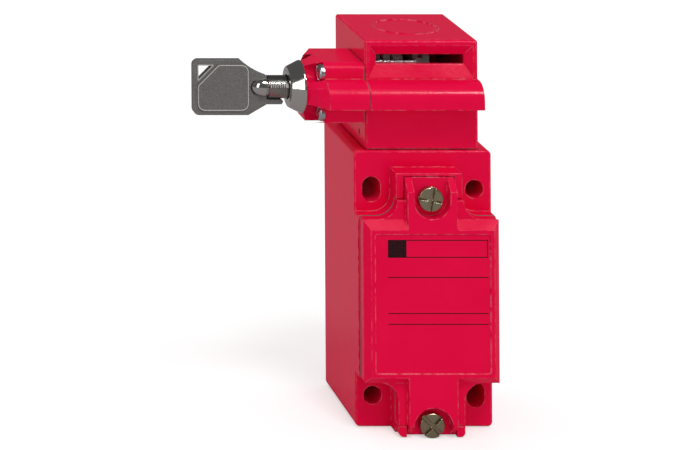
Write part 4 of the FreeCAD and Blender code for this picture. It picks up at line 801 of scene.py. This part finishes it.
def bead_grid(path, level, face, width, height):
    """Half-sunk bead along a closed line of X and Z: point + width cos(a) (T x F) + height
    sin(a) F, where T is the line's direction and F the way its face looks."""
    points = np.stack((path[:, 0], np.full(len(path), level), path[:, 1]), axis=-1)
    heading = np.roll(points, -1, axis=0) - np.roll(points, 1, axis=0)
    heading /= np.linalg.norm(heading, axis=1)[:, None]
    across = np.cross(heading, face)
    angles = np.linspace(0, 2 * np.pi, BEAD_SIDES, endpoint=False)[None, :, None]
    return points[:, None] + width * np.cos(angles) * across[:, None] + height * np.sin(angles) * face


# ---------------------------------------------------------------- operators

# How far each screw's slot is turned from upright.
COVER_SCREW_TURNS = (math.radians(-10), math.radians(45))
LOCK_SCREW_TURNS = (math.radians(20), math.radians(105), math.radians(-35), math.radians(60))
LEFT = (-1.0, 0.0, 0.0)
FRONT = (0.0, -1.0, 0.0)


class SWITCH_OT_dress_castings(bpy.types.Operator):
    """Enamel on the body, cover, head and lock housing"""
    bl_idname = "switch.dress_castings"
    bl_label = "Enamel the castings"

    def execute(self, context):
        finishes = context.scene.switch_finishes
        dress(("red_enamel", "gasket_rubber"), finishes)
        NODES["front_cover"].material_slots[0].material = printed_enamel_finish(finishes)
        return {"FINISHED"}


class SWITCH_OT_dress_metalwork(bpy.types.Operator):
    """Plating on screws, lock, key tube, pins and springs"""
    bl_idname = "switch.dress_metalwork"
    bl_label = "Plate the metalwork"

    def execute(self, context):
        dress(("passivated_steel", "bright_steel", "polished_chrome", "contact_brass", "spring_steel"),
              context.scene.switch_finishes)
        return {"FINISHED"}


class SWITCH_OT_dress_mouldings(bpy.types.Operator):
    """Moulded skins on the key's grip, the discs and the contact block"""
    bl_idname = "switch.dress_mouldings"
    bl_label = "Finish the mouldings"

    def execute(self, context):
        dress(("key_grip", "grey_polymer", "black_moulding"), context.scene.switch_finishes)
        return {"FINISHED"}


class SWITCH_OT_turn_cover_screws(bpy.types.Operator):
    """Cover screws with a long slot, a cross slot and a thread"""
    bl_idname = "switch.turn_cover_screws"
    bl_label = "Turn the cover screws"

    def execute(self, context):
        sizes = context.scene.switch_screws
        low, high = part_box("cover_screws")
        radius = (high.x - low.x) / 2
        seat_y = low.y + sizes.cover_head
        grids = [screw_grid((0.0, seat_y, z), FRONT, radius, sizes.cover_head, sizes.cover_shank,
                            high.y - seat_y, sizes.cover_edge,
                            ((turn, sizes.cover_slot), (turn + math.pi / 2, sizes.cover_cross)),
                            sizes.cover_pitch, COLUMNS["cover_screws"])
                 for z, turn in zip((high.z - radius, low.z + radius), COVER_SCREW_TURNS)]
        piece = make_piece("cover_screws_turned", grids, "passivated_steel", "switch",
                           context.scene.switch_finishes, poles=True)
        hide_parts("cover_screws")
        return {"FINISHED"}


class SWITCH_OT_turn_lock_screws(bpy.types.Operator):
    """Pan-head screws of the lock housing"""
    bl_idname = "switch.turn_lock_screws"
    bl_label = "Turn the lock screws"

    def execute(self, context):
        sizes = context.scene.switch_screws
        low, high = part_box("lock_screws")
        head_r, head_h = sizes.lock_head_radius, sizes.lock_head
        places = [(low.x + head_h, y, z) for z in (high.z - head_r, low.z + head_r)
                  for y in (low.y + head_r, high.y - head_r)]
        grids = [screw_grid(place, LEFT, head_r, head_h, sizes.lock_shank, high.x - low.x - head_h,
                            sizes.lock_edge, ((turn, sizes.lock_slot),), sizes.lock_pitch,
                            COLUMNS["lock_screws"]) for place, turn in zip(places, LOCK_SCREW_TURNS)]
        piece = make_piece("lock_screws_turned", grids, "bright_steel", "switch",
                           context.scene.switch_finishes, poles=True)
        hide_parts("lock_screws")
        return {"FINISHED"}


class SWITCH_OT_turn_key(bpy.types.Operator):
    """Tubular blade of the key with its round-ended shank and fine turned rings"""
    bl_idname = "switch.turn_key"
    bl_label = "Turn the key's tube"

    def execute(self, context):
        sizes = context.scene.switch_key
        low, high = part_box("key_tube")
        radius, cap, waist = (high.z - low.z) / 2, sizes.cap_radius, sizes.cap_radius - sizes.waist_depth
        tip, chamfer, bore = high.x, sizes.tube_chamfer, sizes.tube_bore
        collar = tip - sizes.tube_length
        shoulder = collar - sizes.waist_length
        bend = np.linspace(0, np.pi / 2, CAP_ROWS)
        rings = np.linspace(collar + sizes.plain_length, collar + sizes.ringed_length, RING_ROWS)
        wave = (1 - np.cos(2 * np.pi * (rings - rings[0]) / sizes.ring_pitch)) / 2
        x = np.concatenate((shoulder - (shoulder - low.x) * np.cos(bend),
                            (collar - chamfer, collar, collar + sizes.collar_slope), rings,
                            (tip - chamfer, tip, tip, tip - sizes.bore_depth, tip - sizes.bore_depth)))
        r = np.concatenate((cap * np.sin(bend), (waist, waist, radius), radius - sizes.ring_depth * wave,
                            (radius, radius - chamfer, bore, bore, 0.0)))
        middle = (0.0, (low.y + high.y) / 2, (low.z + high.z) / 2)
        grid = turned(middle, LEFT, r, -x, COLUMNS["key_tube"])
        finishes = context.scene.switch_finishes
        piece = make_piece("key_tube_turned", [grid], "polished_chrome", "key", finishes, poles=True)
        # The tube past the collar takes the darker copy of the chrome: painted shade
        piece.data.materials.append(tube_painted_shade_finish(finishes))
        centres = np.empty(3 * len(piece.data.polygons), np.float32)
        piece.data.polygons.foreach_get("center", centres)
        piece.data.polygons.foreach_set("material_index", (centres[::3] > collar).astype(np.int32))
        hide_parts("key_tube")
        return {"FINISHED"}


class SWITCH_OT_turn_bezel(bpy.types.Operator):
    """Polished bezel with rounded edges"""
    bl_idname = "switch.turn_bezel"
    bl_label = "Turn the bezel"

    def execute(self, context):
        sizes = context.scene.switch_key
        low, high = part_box("lock_bezel")
        sleeve_low, sleeve_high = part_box("lock_barrel")
        radius = (high.z - low.z) / 2
        bore = (sleeve_high.z - sleeve_low.z) / 2
        edge = sizes.bezel_edge
        corners = ((low.x, bore), (low.x, sizes.bezel_nose), (high.x - edge, radius), (high.x, radius),
                   (high.x, bore))
        line = eased(corners, (sizes.bezel_lip, edge, edge / 2, edge / 4, edge / 4), 9)
        middle = (0.0, (low.y + high.y) / 2, (low.z + high.z) / 2)
        grid = turned(middle, LEFT, line[:, 1], -line[:, 0], COLUMNS["lock_bezel"])
        piece = make_piece("lock_bezel_turned", [grid], "polished_chrome", "switch",
                           context.scene.switch_finishes, closed=True)
        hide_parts("lock_bezel")
        return {"FINISHED"}


class SWITCH_OT_bead_grip(bpy.types.Operator):
    """Fine raised beads round the panel and the ring hole, on both faces of the key's grip"""
    bl_idname = "switch.bead_grip"
    bl_label = "Bead the key's grip"

    def execute(self, context):
        sizes = context.scene.switch_key
        low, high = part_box("key_bow")
        margin = sizes.panel_margin
        left, top, base = low.x + margin, high.z - margin, low.z + margin
        right = low.x + high.z - low.z
        lean = sizes.hole_side + sizes.hole_bar
        corner = sizes.panel_corner
        panel = eased(((left, top - lean), (left + lean, top), (right, top), (right, base), (left, base)),
                      (sizes.cut_corner, sizes.cut_corner, corner, corner, corner), 12)
        side = sizes.hole_side
        hole = eased(((left, top), (left + side, top), (left, top - side)), sizes.hole_corner, 8)
        grids = []
        for face, level in ((-1.0, low.y), (1.0, high.y)):
            look = np.array((0.0, face, 0.0))
            grids.append(bead_grid(panel, level, look, sizes.bead_width, sizes.bead_height))
            grids.append(bead_grid(hole, (low.y + high.y) / 2 + face * sizes.rim_half, look,
                                   sizes.bead_width, sizes.bead_height))
        finishes = context.scene.switch_finishes
        beads = make_piece("grip_beads", grids, "key_grip", "key", finishes, closed=True)
        # Beads painted pale: rubbed wear plus a painted highlight
        beads.data.materials[0] = bead_wear_and_highlight_finish(finishes)
        return {"FINISHED"}


class SWITCH_OT_thread_entry(bpy.types.Operator):
    """Thread of the cable entry, a closed sleeve whose inside follows the helix"""
    bl_idname = "switch.thread_entry"
    bl_label = "Thread the cable entry"

    def execute(self, context):
        sizes = context.scene.switch_screws
        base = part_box("body_casting")[0].z + sizes.entry_inset
        radius, length, columns = sizes.entry_radius, sizes.entry_length, COLUMNS["entry_thread"]
        angles = np.linspace(0, 2 * np.pi, columns, endpoint=False)
        climb = np.arange(0, length, sizes.entry_pitch / 10)
        fade = smooth_step(climb / sizes.entry_pitch) * smooth_step((length - climb) / sizes.entry_pitch)
        crest = ridge(climb[:, None] / sizes.entry_pitch - angles / (2 * np.pi)) * fade[:, None]
        inner = radius - sizes.entry_wall - sizes.entry_depth * crest
        radii = np.concatenate((inner, np.full((2, columns), radius)))
        heights = np.concatenate((climb, climb[[-1, 0]]))[:, None] + base + np.zeros(columns)
        grid = upright_rings((0.0, -sizes.entry_place, 0.0), radii, heights)
        make_piece("entry_thread", [grid], "red_enamel", "switch", context.scene.switch_finishes,
                   closed=True)
        return {"FINISHED"}


def shine(name, middle, place, width, height, power):
    """Area light that faces the switch and only shines on glossy surfaces."""
    light = bpy.data.lights.new(name, "AREA")
    light.shape = "RECTANGLE"
    light.size = width
    light.size_y = height
    light.energy = power
    holder = bpy.data.objects.new(name, light)
    holder.location = middle + Vector(place)
    holder.rotation_euler = (-Vector(place)).to_track_quat("-Z", "Y").to_euler()
    holder.visible_diffuse = False
    holder.visible_camera = False
    bpy.context.scene.collection.objects.link(holder)


def floor_paper(stage):
    """White paper that glows a little to the eye, and that polished metal mirrors as a dark floor."""
    paper, tree, shader = start_material(
        "floor_paper", Roughness=0.9, Base_Color=(*stage.floor_colour, 1.0), Specular_IOR_Level=0.0,
        Emission_Color=(1.0, 1.0, 1.0, 1.0), Emission_Strength=stage.floor_glow)
    ray = tree.nodes.new("ShaderNodeLightPath")
    seen = tree.nodes.new("ShaderNodeBsdfDiffuse")
    seen.inputs["Color"].default_value = (*stage.floor_lit, 1.0)
    mirrored = tree.nodes.new("ShaderNodeBsdfDiffuse")
    mirrored.inputs["Color"].default_value = (*stage.floor_dark, 1.0)
    for kind, other in (("Is Glossy Ray", mirrored), ("Is Camera Ray", shader)):
        mix = tree.nodes.new("ShaderNodeMixShader")
        tree.links.new(ray.outputs[kind], mix.inputs[0])
        tree.links.new(seen.outputs[0], mix.inputs[1])
        tree.links.new(other.outputs[0], mix.inputs[2])
        seen = mix
    tree.links.new(seen.outputs[0], tree.nodes["Material Output"].inputs["Surface"])
    return paper


def sun_light(stage):
    """Wide main light above the front, a little to the right."""
    light = bpy.data.lights.new("main_light", "SUN")
    light.energy = stage.sun_strength
    light.angle = stage.sun_spread
    holder = bpy.data.objects.new("main_light", light)
    level = math.cos(stage.sun_height)
    toward_sun = Vector((level * math.sin(stage.sun_side), -level * math.cos(stage.sun_side),
                         math.sin(stage.sun_height)))
    holder.rotation_euler = toward_sun.to_track_quat("Z", "Y").to_euler()
    bpy.context.scene.collection.objects.link(holder)


def studio_sky(stage):
    """Even sky, white to the eye, that polished metal sees as a dark studio."""
    world = bpy.data.worlds.new("studio_sky")
    world.use_nodes = True
    tree = world.node_tree
    sky = tree.nodes["Background"]
    sky.inputs["Color"].default_value = (1.0, 1.0, 1.0, 1.0)
    ray = tree.nodes.new("ShaderNodeLightPath")
    strength = spread(tree, ray.outputs["Is Glossy Ray"], 0.0, 1.0, stage.sky_strength, stage.dark_sky)
    seen = calc(tree, "MAXIMUM", strength, ray.outputs["Is Camera Ray"])
    tree.links.new(seen, sky.inputs["Strength"])
    return world


def view_camera(stage):
    """Camera whose picture plane stays parallel to the switch's front, as a shift lens keeps it.
    Its matrix has the X axis, an upright axis and the ray to the picture's middle as columns."""
    data = bpy.data.cameras.new("view_camera")
    data.lens = stage.focal_length
    data.sensor_width = 36.0
    data.clip_start = 0.01
    data.clip_end = 50.0
    camera = bpy.data.objects.new("view_camera", data)
    bpy.context.scene.collection.objects.link(camera)
    across = Vector((1.0, 0.0, 0.0))
    upright = Vector((stage.upright_lean, 0.0, 1.0)).normalized()
    back = -Vector(stage.picture_centre).normalized()
    skew = Matrix((across, upright, back)).transposed().to_4x4()
    skew.translation = Vector(stage.camera_place)
    mount = bpy.data.objects.new("camera_mount", None)
    bpy.context.scene.collection.objects.link(mount)
    camera.parent = mount
    camera.matrix_parent_inverse = skew
    bpy.context.scene.camera = camera


class SWITCH_OT_set_stage(bpy.types.Operator):
    """Pale floor, soft lights and the camera"""
    bl_idname = "switch.set_stage"
    bl_label = "Set the stage"

    def execute(self, context):
        stage = context.scene.switch_stage
        low, high = CAD_LOW, CAD_HIGH
        middle = (low + high) / 2
        half = stage.floor_size / 2
        mesh = bpy.data.meshes.new("floor")
        corners = [(middle.x + sx * half, middle.y + sy * half, low.z)
                   for sx, sy in ((-1, -1), (1, -1), (1, 1), (-1, 1))]
        mesh.from_pydata(corners, [], [(0, 1, 2, 3)])
        floor = bpy.data.objects.new("floor", mesh)
        context.scene.collection.objects.link(floor)
        mesh.materials.append(floor_paper(stage))
        sun_light(stage)
        shine("strip_light", middle, stage.strip_place, stage.strip_width, stage.strip_height,
              stage.strip_power)
        shine("glint_light", middle, stage.glint_place, stage.glint_size, stage.glint_size,
              stage.glint_power)
        context.scene.world = studio_sky(stage)
        context.scene.view_settings.view_transform = "Standard"
        view_camera(stage)
        return {"FINISHED"}


class SWITCH_PT_panel(bpy.types.Panel):
    """Buttons and values for the switch"""
    bl_idname = "SWITCH_PT_panel"
    bl_label = "Interlock switch"
    bl_space_type = "VIEW_3D"
    bl_region_type = "UI"
    bl_category = "Switch"

    def draw(self, context):
        for operator in OPERATORS:
            self.layout.operator(operator.bl_idname)
        scene = context.scene
        for values in (scene.switch_finishes, scene.switch_screws, scene.switch_key, scene.switch_stage):
            for key in values.__annotations__:
                self.layout.prop(values, key)


OPERATORS = (SWITCH_OT_dress_castings, SWITCH_OT_dress_metalwork, SWITCH_OT_dress_mouldings,
             SWITCH_OT_turn_cover_screws, SWITCH_OT_turn_lock_screws, SWITCH_OT_turn_key,
             SWITCH_OT_turn_bezel, SWITCH_OT_bead_grip, SWITCH_OT_thread_entry, SWITCH_OT_set_stage)
CLASSES = (SwitchFinishes, SwitchScrews, SwitchKey, SwitchStage, *OPERATORS, SWITCH_PT_panel)


def register():
    for item in CLASSES:
        bpy.utils.register_class(item)
    bpy.types.Scene.switch_finishes = bpy.props.PointerProperty(type=SwitchFinishes)
    bpy.types.Scene.switch_screws = bpy.props.PointerProperty(type=SwitchScrews)
    bpy.types.Scene.switch_key = bpy.props.PointerProperty(type=SwitchKey)
    bpy.types.Scene.switch_stage = bpy.props.PointerProperty(type=SwitchStage)


def unregister():
    del bpy.types.Scene.switch_stage
    del bpy.types.Scene.switch_key
    del bpy.types.Scene.switch_screws
    del bpy.types.Scene.switch_finishes
    for item in reversed(CLASSES):
        bpy.utils.unregister_class(item)


def main():
    register()
    bpy.ops.switch.dress_castings()
    bpy.ops.switch.dress_metalwork()
    bpy.ops.switch.dress_mouldings()
    bpy.ops.switch.turn_cover_screws()
    bpy.ops.switch.turn_lock_screws()
    bpy.ops.switch.turn_key()
    bpy.ops.switch.turn_bezel()
    bpy.ops.switch.bead_grip()
    bpy.ops.switch.thread_entry()
    bpy.ops.switch.set_stage()


if __name__ == "__main__":
    main()
